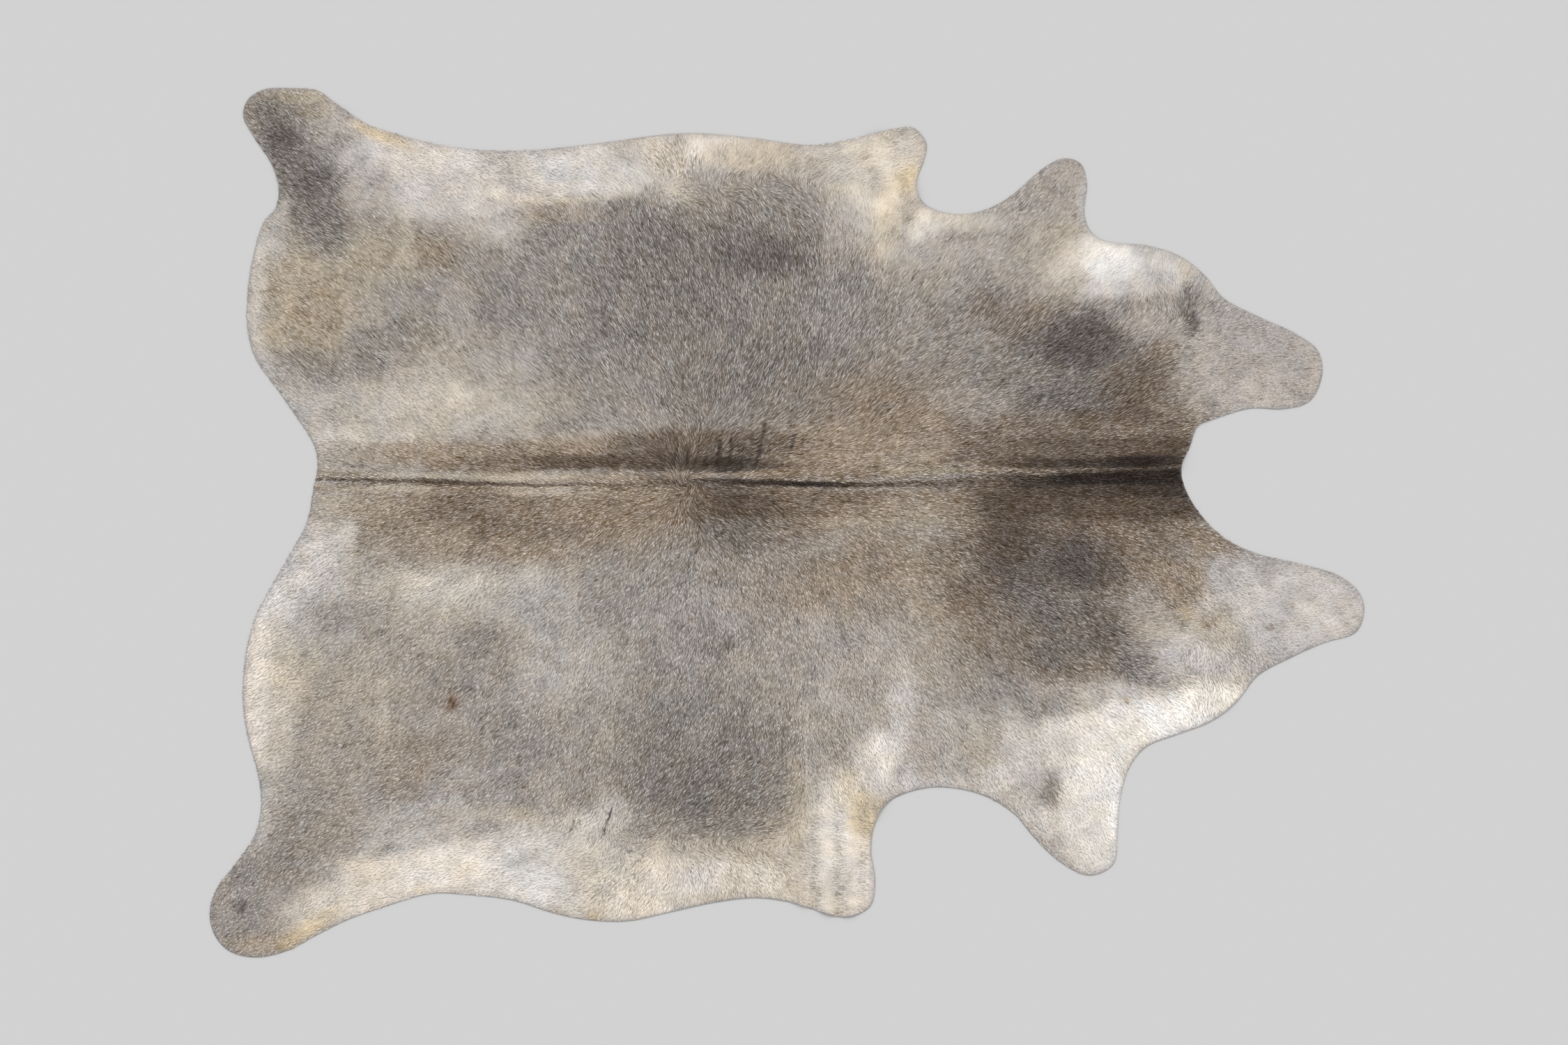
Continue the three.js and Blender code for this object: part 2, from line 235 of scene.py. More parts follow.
# The coat's tones, as they are seen: red, green and blue from 0 to 255
TONES = {
    "black": (38, 31, 27), "soot": (66, 56, 48), "umber": (92, 78, 66), "charcoal": (94, 87, 84),
    "dark brown": (112, 98, 86), "brown": (128, 113, 99), "light brown": (148, 132, 115),
    "fawn": (162, 147, 130), "rust": (112, 84, 64), "rose brown": (152, 124, 106), "olive": (168, 150, 120),
    "slate": (114, 107, 102), "dark grey": (124, 117, 111), "grey": (138, 131, 125),
    "cool grey": (136, 131, 125), "mid grey": (148, 141, 134), "taupe": (158, 149, 140),
    "lilac": (167, 158, 152), "warm grey": (172, 162, 150), "khaki": (170, 157, 137),
    "beige": (184, 172, 156), "stone": (182, 176, 169), "cloud": (187, 181, 176),
    "pale lilac": (195, 188, 182), "pale beige": (196, 187, 175), "honey": (205, 191, 168),
    "gold": (202, 182, 149), "cream": (214, 204, 193), "silver": (203, 198, 192), "ivory": (222, 215, 205),
    "white": (229, 225, 220),
}

# Patches of tone in each part of the hide, each laid over those before it: tone, along, across, half size
# along and across, turn in degrees, strength
PATCHES = {
    "ground tones, first side": [
        ("grey", 280, 240, 170, 80, 0, 0.6), ("warm grey", 450, 150, 280, 110, 0, 0.7),
        ("stone", 80, 230, 70, 200, 15, 0.7), ("dark grey", 150, 650, 70, 130, 0, 0.7),
        ("pale lilac", 560, 660, 330, 110, 0, 0.9), ("pale beige", 1000, 680, 300, 70, 0, 0.8),
        ("grey", 900, 420, 330, 170, 0, 0.8), ("dark grey", 980, 460, 230, 110, 0, 0.6),
        ("grey", 960, 200, 350, 130, 0, 0.7), ("pale beige", 1360, 640, 120, 130, 0, 0.8),
        ("light brown", 1330, 130, 220, 120, 0, 0.8), ("grey", 1400, 330, 200, 140, 0, 0.6),
        ("dark grey", 1720, 220, 210, 130, 0, 0.7), ("brown", 1720, 75, 270, 62, 0, 0.8),
        ("dark brown", 1900, 120, 90, 120, 0, 0.6), ("stone", 2110, 240, 170, 130, 0, 0.85),
    ],
    "ground tones, second side": [
        ("stone", 220, -220, 170, 170, 0, 0.8), ("cream", 90, -390, 70, 240, 0, 0.85),
        ("warm grey", 560, -230, 330, 110, 0, 0.7), ("light brown", 600, -80, 420, 76, 0, 0.8),
        ("brown", 1060, -60, 190, 80, 0, 0.75), ("mid grey", 980, -280, 330, 150, 0, 0.75),
        ("cream", 450, -805, 330, 80, 8, 0.85), ("pale beige", 900, -830, 360, 110, 0, 0.9),
        ("pale beige", 1260, -740, 110, 180, 0, 0.85), ("warm grey", 1330, -360, 220, 210, 0, 0.75),
        ("stone", 1590, -540, 210, 130, 0, 0.8), ("brown", 1690, -200, 220, 220, 0, 0.8),
        ("ivory", 1800, -650, 110, 200, 0, 0.85), ("ivory", 1960, -450, 190, 60, 15, 0.8),
        ("cloud", 2130, -270, 220, 140, 0, 0.85),
    ],
    "rump and loin, first side": [
        ("khaki", 180, 370, 120, 125, 0, 0.8), ("light brown", 215, 350, 60, 55, 0, 0.3),
        ("khaki", 340, 440, 110, 80, 0, 0.6), ("pale lilac", 93, 375, 20, 120, 0, 0.7),
        ("light brown", 455, 448, 48, 36, 0, 0.7), ("mid grey", 420, 345, 90, 55, 0, 0.5),
        ("lilac", 490, 370, 30, 26, 0, 0.4), ("grey", 600, 350, 65, 60, 0, 0.6),
        ("cool grey", 350, 290, 70, 24, 8, 0.7), ("grey", 300, 228, 70, 28, 0, 0.6),
        ("grey", 172, 232, 55, 34, 0, 0.6), ("pale beige", 470, 150, 230, 62, 3, 0.7),
        ("stone", 590, 240, 65, 28, 0, 0.5), ("stone", 240, 145, 60, 55, 0, 0.5),
        ("pale beige", 330, 90, 100, 26, 0, 0.7), ("silver", 225, 92, 30, 18, 30, 0.6),
        ("stone", 190, 165, 24, 60, 25, 0.6), ("taupe", 550, 100, 26, 20, 0, 0.5),
        ("taupe", 850, 140, 130, 50, 0, 0.5), ("warm grey", 240, 30, 36, 40, 0, 0.6),
        ("fawn", 400, 50, 80, 24, 0, 0.5), ("cloud", 130, 190, 30, 80, 35, 0.6),
    ],
    "hind shank, first side": [
        ("dark grey", 104, 738, 46, 36, 0, 0.8), ("charcoal", 146, 676, 36, 46, 25, 0.9),
        ("dark grey", 150, 610, 30, 50, 0, 0.6), ("slate", 208, 590, 56, 78, 0, 0.85),
        ("dark grey", 228, 512, 55, 60, 0, 0.8), ("mid grey", 262, 655, 40, 40, 0, 0.85),
        ("stone", 148, 540, 14, 34, -20, 0.8), ("khaki", 178, 772, 62, 14, 0, 0.7),
        ("khaki", 212, 748, 34, 34, 0, 0.6), ("gold", 345, 692, 62, 16, -22, 0.8),
        ("cloud", 300, 650, 60, 28, 0, 0.6), ("lilac", 350, 598, 60, 30, 0, 0.5),
        ("stone", 122, 500, 34, 60, 0, 0.8),
    ],
    "belly, first side": [
        ("cream", 460, 640, 110, 46, 0, 0.7), ("pale lilac", 470, 572, 135, 52, 0, 0.85),
        ("pale lilac", 570, 530, 64, 56, 0, 0.7), ("stone", 590, 628, 50, 24, 0, 0.6),
        ("stone", 650, 656, 110, 18, 0, 0.7), ("silver", 705, 618, 70, 30, 0, 0.9),
        ("cream", 620, 572, 75, 12, -8, 0.6), ("honey", 745, 563, 90, 10, 4, 0.6),
        ("ivory", 705, 578, 16, 18, 0, 0.7), ("pale beige", 862, 622, 55, 42, 0, 0.75),
        ("beige", 940, 662, 65, 34, 0, 0.7), ("cream", 1000, 672, 50, 26, 0, 0.7),
        ("beige", 1090, 652, 100, 32, 0, 0.85), ("pale beige", 928, 582, 26, 22, 0, 0.8),
        ("taupe", 1050, 578, 170, 28, 0, 0.5), ("pale lilac", 765, 588, 70, 16, 0, 0.7),
        ("pale beige", 945, 575, 40, 24, 0, 0.6), ("silver", 800, 605, 85, 34, 0, 0.6),
        ("cream", 765, 585, 80, 14, 0, 0.6), ("warm grey", 965, 582, 60, 24, 0, 0.4),
    ],
    "flank, first side": [
        ("dark grey", 1000, 300, 240, 130, 0, 0.65), ("fawn", 700, 532, 90, 20, 0, 0.5),
        ("dark grey", 900, 452, 150, 62, 0, 0.75), ("mid grey", 730, 455, 60, 50, 0, 0.5),
        ("charcoal", 1112, 450, 84, 40, 0, 0.75), ("dark grey", 1195, 455, 36, 75, 0, 0.6),
        ("mid grey", 965, 540, 70, 20, 0, 0.5), ("umber", 1010, 505, 16, 8, 0, 0.6),
        ("grey", 1150, 540, 90, 50, 0, 0.6), ("mid grey", 1060, 480, 24, 20, 0, 0.3),
        ("mid grey", 1085, 462, 6, 6, 0, 0.3), ("dark grey", 1150, 200, 130, 95, 0, 0.55),
        ("dark grey", 990, 180, 110, 60, 0, 0.7), ("mid grey", 850, 230, 100, 50, 0, 0.4),
        ("brown", 358, 451, 9, 7, 0, 0.4), ("brown", 421, 385, 8, 7, 0, 0.6),
    ],
    "elbow and armpit, first side": [
        ("lilac", 1262, 500, 38, 70, 0, 0.6), ("pale beige", 1270, 590, 44, 56, 0, 0.7),
        ("pale beige", 1350, 655, 78, 44, 0, 0.85), ("gold", 1398, 600, 28, 30, 0, 0.75),
        ("honey", 1362, 556, 34, 44, 0, 0.75), ("honey", 1350, 480, 26, 48, 0, 0.6),
        # The narrow honey patch at 1381 along, 515 across is painted shade along the upper armpit fold
        ("pale beige", 1312, 535, 28, 70, 0, 0.6), ("honey", 1381, 515, 6, 30, -8, 0.4),
        ("ivory", 1432, 492, 48, 34, 35, 0.7), ("cream", 1448, 526, 34, 20, 0, 0.7),
        ("honey", 1492, 530, 42, 8, 0, 0.7), ("lilac", 1482, 468, 60, 28, 0, 0.6),
        ("pale lilac", 1398, 440, 44, 26, 0, 0.6), ("taupe", 1452, 455, 34, 26, 0, 0.5),
        ("stone", 1330, 330, 6, 5, 0, 0.5), ("slate", 1314, 318, 6, 13, 20, 0.4),
        ("slate", 1318, 300, 10, 5, 0, 0.4), ("pale beige", 1520, 520, 90, 22, 0, 0.7),
    ],
    "shoulder, first side": [
        ("brown", 1350, 165, 80, 65, 0, 0.5), ("brown", 1240, 160, 40, 32, 0, 0.4),
        ("grey", 1270, 330, 90, 90, 0, 0.5), ("grey", 1545, 372, 92, 56, 0, 0.6),
        ("dark brown", 1562, 352, 56, 30, 0, 0.4), ("lilac", 1545, 150, 70, 50, 0, 0.3),
        ("taupe", 1700, 590, 62, 70, 0, 0.6), ("warm grey", 1645, 450, 110, 52, 0, 0.7),
        ("beige", 1725, 470, 40, 34, 0, 0.7), ("warm grey", 1420, 420, 90, 50, 0, 0.5),
        ("stone", 1750, 560, 16, 60, 0, 0.7),
    ],
    "neck and cheek, first side": [
        ("brown", 1640, 320, 80, 44, 0, 0.6), ("slate", 1720, 160, 110, 46, 0, 0.9),
        ("charcoal", 1745, 280, 105, 56, 0, 0.9), ("dark grey", 1785, 338, 76, 28, 12, 0.5),
        ("umber", 1755, 120, 40, 22, 0, 0.8), ("umber", 1805, 195, 40, 34, 0, 0.5),
        ("dark brown", 1862, 178, 52, 52, 0, 0.6), ("umber", 1842, 130, 42, 24, 0, 0.6),
        ("dark brown", 1890, 215, 40, 50, 0, 0.6), ("brown", 1912, 268, 24, 18, 0, 0.5),
        ("lilac", 1868, 318, 42, 36, 0, 0.7), ("lilac", 1725, 338, 16, 12, 0, 0.5),
        ("white", 1800, 445, 62, 46, 0, 0.8), ("silver", 1868, 424, 95, 44, -4, 0.9),
        ("white", 1805, 432, 50, 34, 0, 0.4), ("cloud", 1850, 380, 50, 20, 0, 0.6),
        ("stone", 1915, 425, 55, 44, 0, 0.7), ("beige", 1962, 426, 20, 16, -30, 0.6),
        ("mid grey", 1990, 370, 34, 30, -30, 0.7), ("slate", 1962, 345, 20, 52, 0, 0.6),
        ("charcoal", 1967, 312, 14, 24, 0, 0.5), ("grey", 1932, 330, 18, 18, 0, 0.5),
        ("lilac", 2045, 252, 72, 62, 0, 0.85), ("lilac", 2150, 238, 90, 66, 0, 0.6),
        ("lilac", 2080, 316, 66, 28, -25, 0.8), ("lilac", 2000, 180, 54, 44, 0, 0.7),
        ("lilac", 2110, 180, 80, 30, 0, 0.6), ("grey", 1885, 362, 36, 5, 30, 0.4),
        ("beige", 1700, 415, 36, 44, 0, 0.6), ("pale lilac", 1790, 384, 62, 22, 4, 0.7),
        ("lilac", 1800, 350, 30, 14, 0, 0.5), ("stone", 2015, 380, 56, 24, -35, 0.7),
        ("pale lilac", 1705, 425, 34, 40, 0, 0.6),
    ],
    "back, first side": [
        ("beige", 760, 82, 100, 14, 0, 0.4), ("brown", 960, 75, 140, 28, 0, 0.6),
        ("brown", 1080, 75, 70, 30, 0, 0.5), ("dark brown", 1900, 76, 62, 18, 0, 0.7),
        ("brown", 1650, 108, 190, 26, 0, 0.6),
    ],
    "back, second side": [
        ("fawn", 480, -115, 130, 36, 0, 0.7), ("brown", 650, -70, 140, 42, 0, 0.8),
        ("light brown", 625, -130, 66, 32, 0, 0.7), ("light brown", 800, -58, 120, 40, 0, 0.7),
        ("dark brown", 950, -56, 66, 20, 0, 0.6), ("dark grey", 1050, -92, 90, 42, 0, 0.7),
        ("brown", 510, -24, 46, 14, 0, 0.5), ("dark brown", 545, -112, 22, 18, 0, 0.5),
        ("brown", 520, -150, 20, 14, 0, 0.5), ("khaki", 1380, -60, 130, 30, 0, 0.75),
        ("fawn", 1250, -70, 70, 26, 0, 0.6), ("light brown", 1340, -142, 70, 52, 0, 0.75),
        ("light brown", 1250, -215, 240, 66, 0, 0.65),
    ],
    "rump and loin, second side": [
        ("stone", 240, -60, 50, 66, 0, 0.6), ("pale beige", 272, -125, 20, 80, 0, 0.8),
        ("pale lilac", 215, -150, 52, 62, 0, 0.9), ("silver", 150, -222, 52, 56, -30, 0.9),
        ("pale lilac", 215, -215, 50, 40, 0, 0.5), ("pale beige", 450, -205, 125, 36, 0, 0.85),
        ("pale beige", 480, -240, 76, 26, 0, 0.6), ("stone", 640, -240, 100, 62, 0, 0.7),
        ("stone", 720, -370, 100, 90, 0, 0.7), ("pale beige", 140, -430, 44, 120, 0, 0.8),
        ("beige", 175, -395, 50, 60, 0, 0.5), ("cream", 92, -420, 24, 150, 0, 0.95),
        ("mid grey", 275, -270, 60, 34, 0, 0.6), ("taupe", 320, -330, 90, 44, 0, 0.4),
        ("warm grey", 320, -430, 110, 84, 0, 0.6), ("pale beige", 345, -450, 12, 62, 0, 0.4),
        ("grey", 545, -318, 70, 30, 0, 0.5), ("grey", 530, -420, 26, 20, 0, 0.5),
        ("light brown", 420, -550, 56, 50, 0, 0.5), ("light brown", 385, -608, 42, 40, 0, 0.5),
        ("brown", 374, -630, 18, 11, 0, 0.5), ("beige", 150, -540, 40, 32, 0, 0.5),
        ("mid grey", 600, -540, 80, 76, 0, 0.6), ("warm grey", 330, -570, 60, 56, 0, 0.4),
        ("slate", 343, -300, 12, 9, 0, 0.7), ("rust", 484, -445, 12, 14, 0, 0.85),
        ("pale beige", 656, -620, 8, 10, 0, 0.5), ("pale lilac", 160, -135, 26, 80, -30, 0.7),
        ("lilac", 480, -650, 110, 66, 0, 0.5),
    ],
    "hind shank, second side": [
        ("mid grey", 180, -640, 46, 62, 0, 0.5), ("grey", 150, -705, 52, 56, 0, 0.6),
        ("grey", 125, -790, 70, 66, 20, 0.7), ("grey", 66, -862, 66, 84, 0, 0.6),
        ("charcoal", 60, -855, 15, 17, 0, 0.6), ("mid grey", 205, -790, 60, 52, 0, 0.6),
        ("mid grey", 112, -872, 42, 34, 0, 0.5), ("fawn", 90, -932, 56, 22, 0, 0.7),
        ("stone", 380, -730, 66, 32, 0, 0.7), ("mid grey", 360, -736, 22, 8, 15, 0.6),
        ("stone", 430, -680, 100, 40, 0, 0.7), ("stone", 102, -640, 22, 90, 0, 0.8),
    ],
    "flank, second side": [
        ("dark grey", 1000, -585, 190, 110, 0, 0.75), ("grey", 1150, -555, 70, 76, 0, 0.5),
        ("grey", 860, -565, 38, 42, 0, 0.4), ("cool grey", 930, -470, 130, 52, 0, 0.6),
        ("dark grey", 1000, -645, 96, 62, 0, 0.6), ("dark grey", 960, -672, 46, 26, 0, 0.3),
        ("mid grey", 900, -690, 66, 30, 0, 0.6), ("fawn", 1150, -705, 46, 42, 0, 0.5),
        ("lilac", 1000, -280, 240, 110, 0, 0.4), ("dark grey", 1023, -203, 24, 8, 8, 0.75),
        ("dark grey", 1025, -325, 36, 16, 20, 0.5),
    ],
    "belly, second side": [
        ("beige", 560, -668, 110, 18, 0, 0.6), ("beige", 655, -684, 76, 14, 0, 0.5),
        ("pale beige", 745, -690, 70, 28, 0, 0.9), ("stone", 800, -685, 34, 66, 0, 0.8),
        ("cream", 380, -790, 140, 32, 12, 0.8), ("cream", 505, -765, 140, 44, 10, 0.95),
        ("honey", 480, -772, 60, 20, 0, 0.3), ("pale beige", 270, -832, 76, 26, 18, 0.8),
        ("honey", 215, -885, 60, 18, 25, 0.85), ("olive", 152, -926, 24, 18, 20, 0.7),
        ("honey", 430, -822, 46, 9, 0, 0.5), ("silver", 640, -765, 70, 66, 0, 0.9),
        ("cloud", 560, -812, 56, 14, 0, 0.5), ("stone", 640, -757, 34, 12, 32, 0.7),
        ("silver", 665, -822, 66, 38, 0, 0.8), ("stone", 605, -798, 11, 7, 0, 0.4),
        ("cream", 866, -850, 62, 30, 0, 0.7), ("cream", 905, -810, 70, 42, 0, 0.6),
        ("olive", 768, -872, 12, 12, 0, 0.5), ("pale lilac", 1000, -790, 96, 40, 0, 0.85),
        ("pale beige", 1105, -790, 90, 42, 0, 0.8), ("warm grey", 1000, -738, 110, 20, 0, 0.6),
        ("beige", 1130, -738, 60, 30, 0, 0.7), ("beige", 1000, -834, 110, 10, 3, 0.4),
        ("gold", 176, -914, 44, 16, 25, 0.6),
    ],
    "elbow and armpit, second side": [
        ("mid grey", 1242, -515, 26, 50, 0, 0.6), ("pale lilac", 1388, -440, 32, 90, 0, 0.8),
        ("pale lilac", 1402, -545, 26, 42, 0, 0.8), ("beige", 1175, -780, 42, 80, 0, 0.75),
        ("pale beige", 1210, -700, 22, 100, 0, 0.7), ("cream", 1238, -690, 24, 100, 0, 0.7),
        ("ivory", 1264, -715, 20, 84, 0, 0.7), ("honey", 1290, -618, 44, 36, 0, 0.9),
        ("gold", 1308, -682, 30, 62, 0, 0.75), ("cream", 1302, -742, 30, 36, 0, 0.6),
        ("olive", 1334, -642, 18, 18, 0, 0.6), ("cream", 1350, -600, 26, 26, 0, 0.8),
        ("ivory", 1352, -550, 26, 52, 0, 0.8), ("cream", 1318, -560, 22, 50, 0, 0.8),
        # The two narrow pale beige stripes at 1206 and 1256 along are painted shade in the valleys between
        # the elbow flap's ripples
        ("cream", 1300, -822, 38, 52, 0, 0.7), ("pale beige", 1206, -730, 7, 110, -2, 0.5),
        ("pale beige", 1256, -760, 7, 90, 0, 0.5), ("pale beige", 1212, -810, 16, 56, 0, 0.5),
        ("lilac", 1156, -623, 5, 5, 0, 0.6), ("cream", 1330, -590, 46, 60, 0, 0.4),
        ("khaki", 1176, -640, 22, 80, 0, 0.6),
    ],
    "shoulder, second side": [
        ("lilac", 1440, -540, 42, 52, 0, 0.75), ("lilac", 1300, -340, 160, 90, 0, 0.5),
        ("grey", 1545, -415, 60, 42, 0, 0.6), ("brown", 1520, -175, 76, 72, 0, 0.6),
        ("dark brown", 1510, -232, 62, 30, 0, 0.4), ("warm grey", 1560, -522, 76, 60, 0, 0.7),
        ("pale lilac", 1650, -545, 66, 60, 0, 0.8), ("pale lilac", 1600, -592, 66, 30, 0, 0.7),
        ("mid grey", 1640, -450, 44, 36, 0, 0.6), ("lilac", 1700, -425, 66, 30, 0, 0.6),
        ("stone", 1640, -640, 44, 34, 0, 0.8), ("pale lilac", 1690, -690, 50, 40, 0, 0.8),
        ("pale lilac", 1440, -612, 100, 24, 0, 0.8),
    ],
    "neck and cheek, second side": [
        ("brown", 1720, -130, 150, 110, 0, 0.8), ("charcoal", 1680, -170, 130, 76, 0, 0.7),
        ("umber", 1600, -90, 50, 94, 0, 0.8), ("charcoal", 1765, -160, 72, 50, 0, 0.7),
        ("dark brown", 1870, -72, 56, 28, 0, 0.7), ("brown", 1925, -95, 54, 52, 0, 0.7),
        ("brown", 1955, -62, 26, 26, 0, 0.6), ("brown", 1850, -132, 64, 40, 0, 0.6),
        ("light brown", 2000, -122, 54, 24, -20, 0.8), ("light brown", 1900, -190, 56, 42, 0, 0.8),
        ("light brown", 1930, -235, 30, 40, 0, 0.7), ("olive", 1950, -266, 20, 18, 0, 0.5),
        ("dark grey", 1700, -255, 95, 50, 0, 0.8), ("slate", 1765, -305, 74, 46, 0, 0.6),
        ("slate", 1682, -340, 52, 32, 0, 0.8), ("dark grey", 1842, -362, 34, 32, -20, 0.8),
        ("mid grey", 1885, -396, 32, 14, -15, 0.7), ("taupe", 1858, -245, 62, 44, 0, 0.7),
        ("warm grey", 1905, -300, 54, 42, 0, 0.7), ("pale lilac", 1958, -345, 62, 50, 0, 0.75),
        ("cloud", 2050, -205, 66, 52, 0, 0.85), ("khaki", 2020, -298, 54, 40, 0, 0.5),
        ("light brown", 2000, -282, 20, 12, 0, 0.5), ("khaki", 2060, -402, 32, 13, 25, 0.5),
        ("cloud", 2085, -258, 52, 52, 0, 0.85), ("cloud", 2205, -242, 100, 60, 0, 0.95),
        ("lilac", 2120, -192, 14, 26, 0, 0.5), ("lilac", 2102, -362, 42, 24, 20, 0.4),
        ("cloud", 2292, -250, 18, 44, 0, 0.8), ("brown", 2124, -292, 9, 7, 0, 0.6),
        ("lilac", 2160, -290, 34, 8, 0, 0.4), ("lilac", 1850, -330, 20, 24, 0, 0.3),
        ("dark brown", 1800, -84, 100, 20, 0, 0.6), ("light brown", 1972, -195, 28, 66, 0, 0.7),
    ],
    "throat and fore shank, second side": [
        ("pale lilac", 1800, -425, 70, 24, 0, 0.6), ("white", 1960, -458, 90, 46, 18, 1.0),
        ("ivory", 2035, -428, 36, 28, 30, 0.9), ("white", 1880, -480, 66, 42, 10, 1.0),
        ("ivory", 1815, -502, 60, 46, 0, 0.95), ("cream", 1738, -490, 66, 26, 0, 0.85),
        ("ivory", 1790, -560, 54, 52, 0, 0.95), ("ivory", 1765, -620, 56, 62, 0, 0.8),
        ("white", 1815, -670, 16, 110, 0, 0.9), ("silver", 1780, -740, 36, 42, 0, 0.7),
        ("silver", 1718, -590, 28, 40, 0, 0.6), ("honey", 1832, -440, 12, 8, 0, 0.8),
        ("rose brown", 1834, -438, 6, 4, 0, 0.5), ("slate", 1684, -618, 22, 38, -20, 0.5),
        ("slate", 1692, -648, 12, 14, 0, 0.3), ("stone", 1642, -622, 28, 30, 0, 0.6),
        ("pale lilac", 1652, -672, 40, 18, -30, 0.5), ("stone", 1722, -762, 56, 18, -20, 0.7),
        ("silver", 1740, -700, 32, 30, 0, 0.7),
    ],
}
PATCH_EDGE = (0.42, 1.5)  # where a patch's soft edge starts and ends, as shares of its half size
FREE_PATCH = 55.0  # the half size from which a patch's edge wanders in full
LINE_EDGE = (0.3, 1.6)  # the same for the soft edge of a crease or scratch

# How the coat's tones wander: over about how many millimetres, and how far
WARPS = [(70, 12.0), (24, 6.0)]  # the patches' edges, in millimetres
MOTTLE = [(70, 0.02), (30, 0.045), (13, 0.055)]  # lighter and darker
WARMTH = [(90, 0.008), (26, 0.012)]  # warmer and cooler
WARMER = np.array([1.0, 0.2, -1.4])  # red, green and blue where the coat is warmer
WANDER_MARGIN = 200.0  # how far past the hide these values go on, in millimetres
ALONG_SEED, ACROSS_SEED, MOTTLE_SEED, WARMTH_SEED = 100, 200, 300, 400
BAND_SEED, SWING_SEED, CLUMP_SEED = 501, 501, 601

# Where hair is shorter than on the back: along, across, half sizes, and the share of the full length
SHORT_HAIR = [
    (2120, 235, 140, 120, 0.62), (2190, -260, 170, 130, 0.62), (110, 720, 110, 110, 0.8),
    (80, -860, 120, 120, 0.8), (1760, -690, 90, 120, 0.75), (1700, 590, 80, 80, 0.8),
]
SHORT_EDGE = (0.5, 1.1)  # where its soft edge starts and ends, as shares of its half size

# Where the hair's tips stand out past the cut edge: along, across, half sizes
LOOSE_EDGES = [(120, 60, 120, 620), (90, -360, 110, 330), (1970, 90, 60, 60), (40, -820, 60, 100)]

# Where the coat parts into small tufts: along, across, half sizes
TUFTS = [(840, -810, 90, 60), (1060, -790, 110, 40), (930, 640, 60, 40)]
OVAL_EDGE = (0.7, 1.2)  # where the soft edge of these two starts and ends, as shares of their half size

# How locks differ from each other: the least and the most, as shares
ROOT_SCATTER = (-0.6, 0.6)  # of the spacing
LENGTHS = (0.72, 1.22)
WIDTHS = (0.75, 1.3)
RIDGES = (0.7, 1.35)
RISES = (0.22, 0.62)  # how high a tip stands, of the coat's thickness over the skin
LOOSE_TIPS = (0.2, 1.0)

# How the locks swing off the hair's lay: over about how many millimetres, and how many degrees
SWINGS = [(22, 9), (9, 7)]
OWN_SWING = 7.0  # each lock's own

ROOT_MARGIN = 0.8  # roots stand at least so far inside the cut edge
TIP_REACH, LOOSE_REACH = 0.3, 3.2  # how far tips stand out past the cut edge, and loose ones further
TRIM_ROUNDS, TRIM_SHARE = 3, 1.15  # how often a lock that stands out further is cut back, and by what share
SHORTEST_LOCK = 3.0
FLAT_LOCK, LEAST_RISE = 9.0, 0.35  # below that length a lock's tip stands less high, down to that share
ROOT_DEPTH = 0.35  # how deep a root sits in the skin
RIDGE_PLACE = 0.28  # where along a lock its ridge is highest

# Pale hair is finer, flatter and more even than dark hair: each pair is for dark hair and for pale hair
PALE_HAIR = (0.4, 0.82)  # how light hair looks where it starts to be so, and from where it is so in full
WIDTH_SHARE = (1.0, 0.85)
RIDGE_SHARE = (1.0, 0.2)
RISE_SHARE = (1.0, 0.35)
UNEVENNESS = (0.34, 0.03)  # of the tones from lock to lock
CLUMPING = (0.05, 0.02)  # of the tones from clump to clump
BRIGHTNESS = (1.0, 0.85)
# Along each lock: the root darkened as painted shade between the hairs, and on dark hair the tip lightened as
# painted light where tips catch it
ROOT_TONE, MIDDLE_TONE, TIP_TONE = (0.68, 0.92), (0.97, 0.91), (1.12, 0.92)
ROOT_TINT, TIP_TINT = (1.3, 1.0), (0.6, 0.6)  # how strongly a lock's tint shows at its root and its tip
FINE_HAIRS = (1.0, 0.25)  # how clearly the finer hairs show on a lock
# How the skin's hair side stands against the coat's tone: darker under dark hair as painted shade of the
# roots, a little lighter under pale hair
SKIN_TONE = (0.9, 1.03)

CLUMP_SIZE = 6
TUFT_UNEVENNESS = 0.14  # added where the coat parts into tufts
USUAL_LOCK, LIGHTEST_LOCK = 0.1, 0.85  # a lock's lightness against its place's tone, and the most of it
OWN_WARMTH = 0.008
WARMER_LOCK = np.array([1.0, 0.0, -1.2])
TINT_LOSS = -1.8  # the lighter a lock is than its place's tone, the less of its tint it keeps
LIGHTEST_HAIR = 0.96

# A lock's corners are left root, right root, ridge and tip
LOCK_FACES = np.array([0, 2, 3, 1, 3, 2, 0, 1, 2, 0, 3, 1])
LOCK_STRAND = np.array([(-1.0, 0.0), (1.0, 0.0), (0.0, 0.3), (0.0, 1.0)])  # across it and along it

# The finer hairs drawn on a lock
HAIR_STRETCH = (2.4, 1.3, 61.0)  # how they vary across a lock, along it, and from lock to lock
HAIR_NOISE = (2.0, 1.0)  # scale and detail
HAIR_CONTRAST = 1.1
HAIR_ROUGHNESS = (0.5, 0.72)  # between them and on them
HAIR_RELIEF, HAIR_GLOSS = 0.5, 0.12

# The skin's fibres and the nap of its suede: scale and detail
FIBRE_NOISE, NAP_NOISE = (900.0, 3.0), (55.0, 4.0)
FIBRE_TONE = ((0.3, 0.7), (0.86, 1.12))  # which part of the fibres shows, and how dark and light it is there
NAP_TONE = ((0.35, 0.65), (0.84, 1.06))
SKIN_ROUGHNESS = (0.78, 0.94)
SKIN_RELIEF, SKIN_GLOSS = 0.6, 0.2
RELIEF_DEPTH = 0.0004  # in metres, of hair and skin both

FLOOR_ROUGHNESS = 0.9
SENSOR_WIDTH = 36.0  # the camera's, in millimetres
FURTHEST_VIEW = 60.0  # in metres

